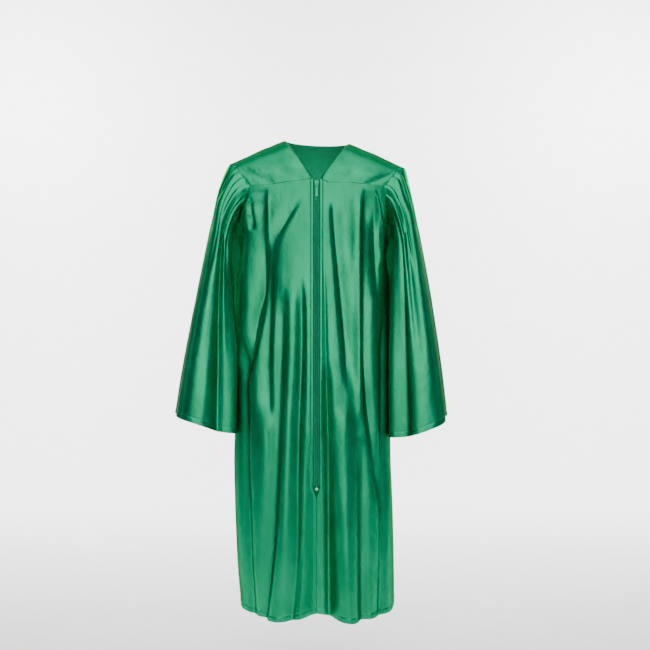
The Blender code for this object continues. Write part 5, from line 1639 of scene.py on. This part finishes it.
def dress():
    """Every cloth piece, the sewing and the zip."""
    reverse, thread, metal, teeth, mint = (
        plain_material(row) for row in (REVERSE, THREAD_FINISH, ZIP_METAL, ZIP_TEETH, STOP_ENAMEL)
    )
    hems, neck, placket, edges, sheets = [], [], [], [], {}

    def ahead(centre):
        return (0, -1, 0)

    def behind(centre):
        return (0, 1, 0)

    def add(name, node, seed, grids, facing, closed=False):
        grid = tucked(*grids, sides=not closed)
        finish = satin_material(name, seed)
        sheets[name] = add_cloth(name, grid, node, finish, reverse, facing, closed)

    for side in SIDES:
        yoke = front_yoke(side)
        add(f"satin_yoke_front_{side.name}", f"yoke_front_{side.name}", 1, yoke, ahead)
        neck.append(at_distance(*turned(*yoke), NECK_STITCH))

        panel = front_panel(side)
        add(f"satin_front_{side.name}", f"front_panel_{side.name}", 2, panel, ahead)
        edges.append(panel[0][:, 0])
        hems.append(at_distance(*panel, HEM_STITCH, True))
        placket.append(at_distance(*turned(*panel), PLACKET))

        sleeve = sleeve_rings(side)

        def from_sleeve(centre, middle=sleeve[0].mean(axis=(0, 1))):
            return (centre[0] - middle[0], centre[1] - middle[1], 0)

        add(f"satin_sleeve_{side.name}", f"sleeve_{side.name}", 3, sleeve, from_sleeve, True)
        cuff = at_distance(*sleeve, HEM_STITCH, True)
        hems.append([np.concatenate([line, line[:1]]) for line in cuff])

    yoke = back_yoke()
    add("satin_yoke_back", "yoke_back", 4, yoke, behind)
    line, out = at_distance(*yoke, NECK_STITCH)
    here = np.abs(np.linspace(-1, 1, len(line))) < NECK_SHARE
    neck.append((line[here], out[here]))
    panel = back_panel()
    add("satin_back", "back_panel", 5, panel, behind)
    hems.append(at_distance(*panel, HEM_STITCH, True))

    stitches("hem_stitches", hems, *HEM_THREAD, thread)
    stitches("neck_stitches", neck, *EDGE_THREAD, thread)
    stitches("placket_stitches", placket, *EDGE_THREAD, thread)
    tape = tape_material()
    for side in SIDES:
        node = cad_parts[f"zip_tape_{side.name}"]
        node.data.materials.clear()
        node.data.materials.append(tape)
    add_teeth(edges, teeth)
    add_slider(metal)
    add_pull(metal)
    add_stop(mint)
    return sheets


def area_light(row):
    """A soft white light that faces a point."""
    data = bpy.data.lights.new(row.name, "AREA")
    data.shape = "RECTANGLE"
    data.size, data.size_y = row.size
    data.energy = row.power
    made = bpy.data.objects.new(row.name, data)
    made.location = row.place
    made.rotation_euler = (Vector(row.aim) - Vector(row.place)).to_track_quat("-Z", "Y").to_euler()
    bpy.context.scene.collection.objects.link(made)


def stage():
    """Floor, soft light and camera."""
    bend = FLOOR_BACK - FLOOR_CURVE
    profile = [(-FLOOR_HALF, 0.0), (bend, 0.0)]
    for k in range(1, FLOOR_STEPS + 1):
        a = math.pi / 2 * k / FLOOR_STEPS
        profile.append((bend + FLOOR_CURVE * math.sin(a), FLOOR_CURVE - FLOOR_CURVE * math.cos(a)))
    profile.append((FLOOR_BACK, FLOOR_TOP))
    floor = bpy.data.meshes.new("floor")
    bm = bmesh.new()
    rows = [
        [bm.verts.new((x, y, FLOOR_Z + z)) for x in (-FLOOR_HALF, FLOOR_HALF)] for y, z in profile
    ]
    for a, b in zip(rows, rows[1:]):
        bm.faces.new((a[0], a[1], b[1], b[0]))
    bm.to_mesh(floor)
    bm.free()
    floor.shade_smooth()
    made = bpy.data.objects.new("floor", floor)
    bpy.context.scene.collection.objects.link(made)
    floor.materials.append(plain_material(PAPER))

    world = bpy.data.worlds.new("studio")
    world.use_nodes = True
    background = world.node_tree.nodes["Background"]
    background.inputs["Color"].default_value = (1.0, 1.0, 1.0, 1)
    background.inputs["Strength"].default_value = WORLD
    bpy.context.scene.world = world

    for row in LIGHTS:
        area_light(row)

    camera = bpy.data.cameras.new("camera")
    camera.sensor_width = SENSOR
    camera.lens = SENSOR * CAMERA_AWAY / FRAME_WIDE
    made = bpy.data.objects.new("camera", camera)
    made.location = (CAMERA_X, -CAMERA_AWAY, CAMERA_Z)
    made.rotation_euler = (math.pi / 2, 0, 0)
    bpy.context.scene.collection.objects.link(made)
    bpy.context.scene.camera = made


cloth_pieces = dress()
stage()
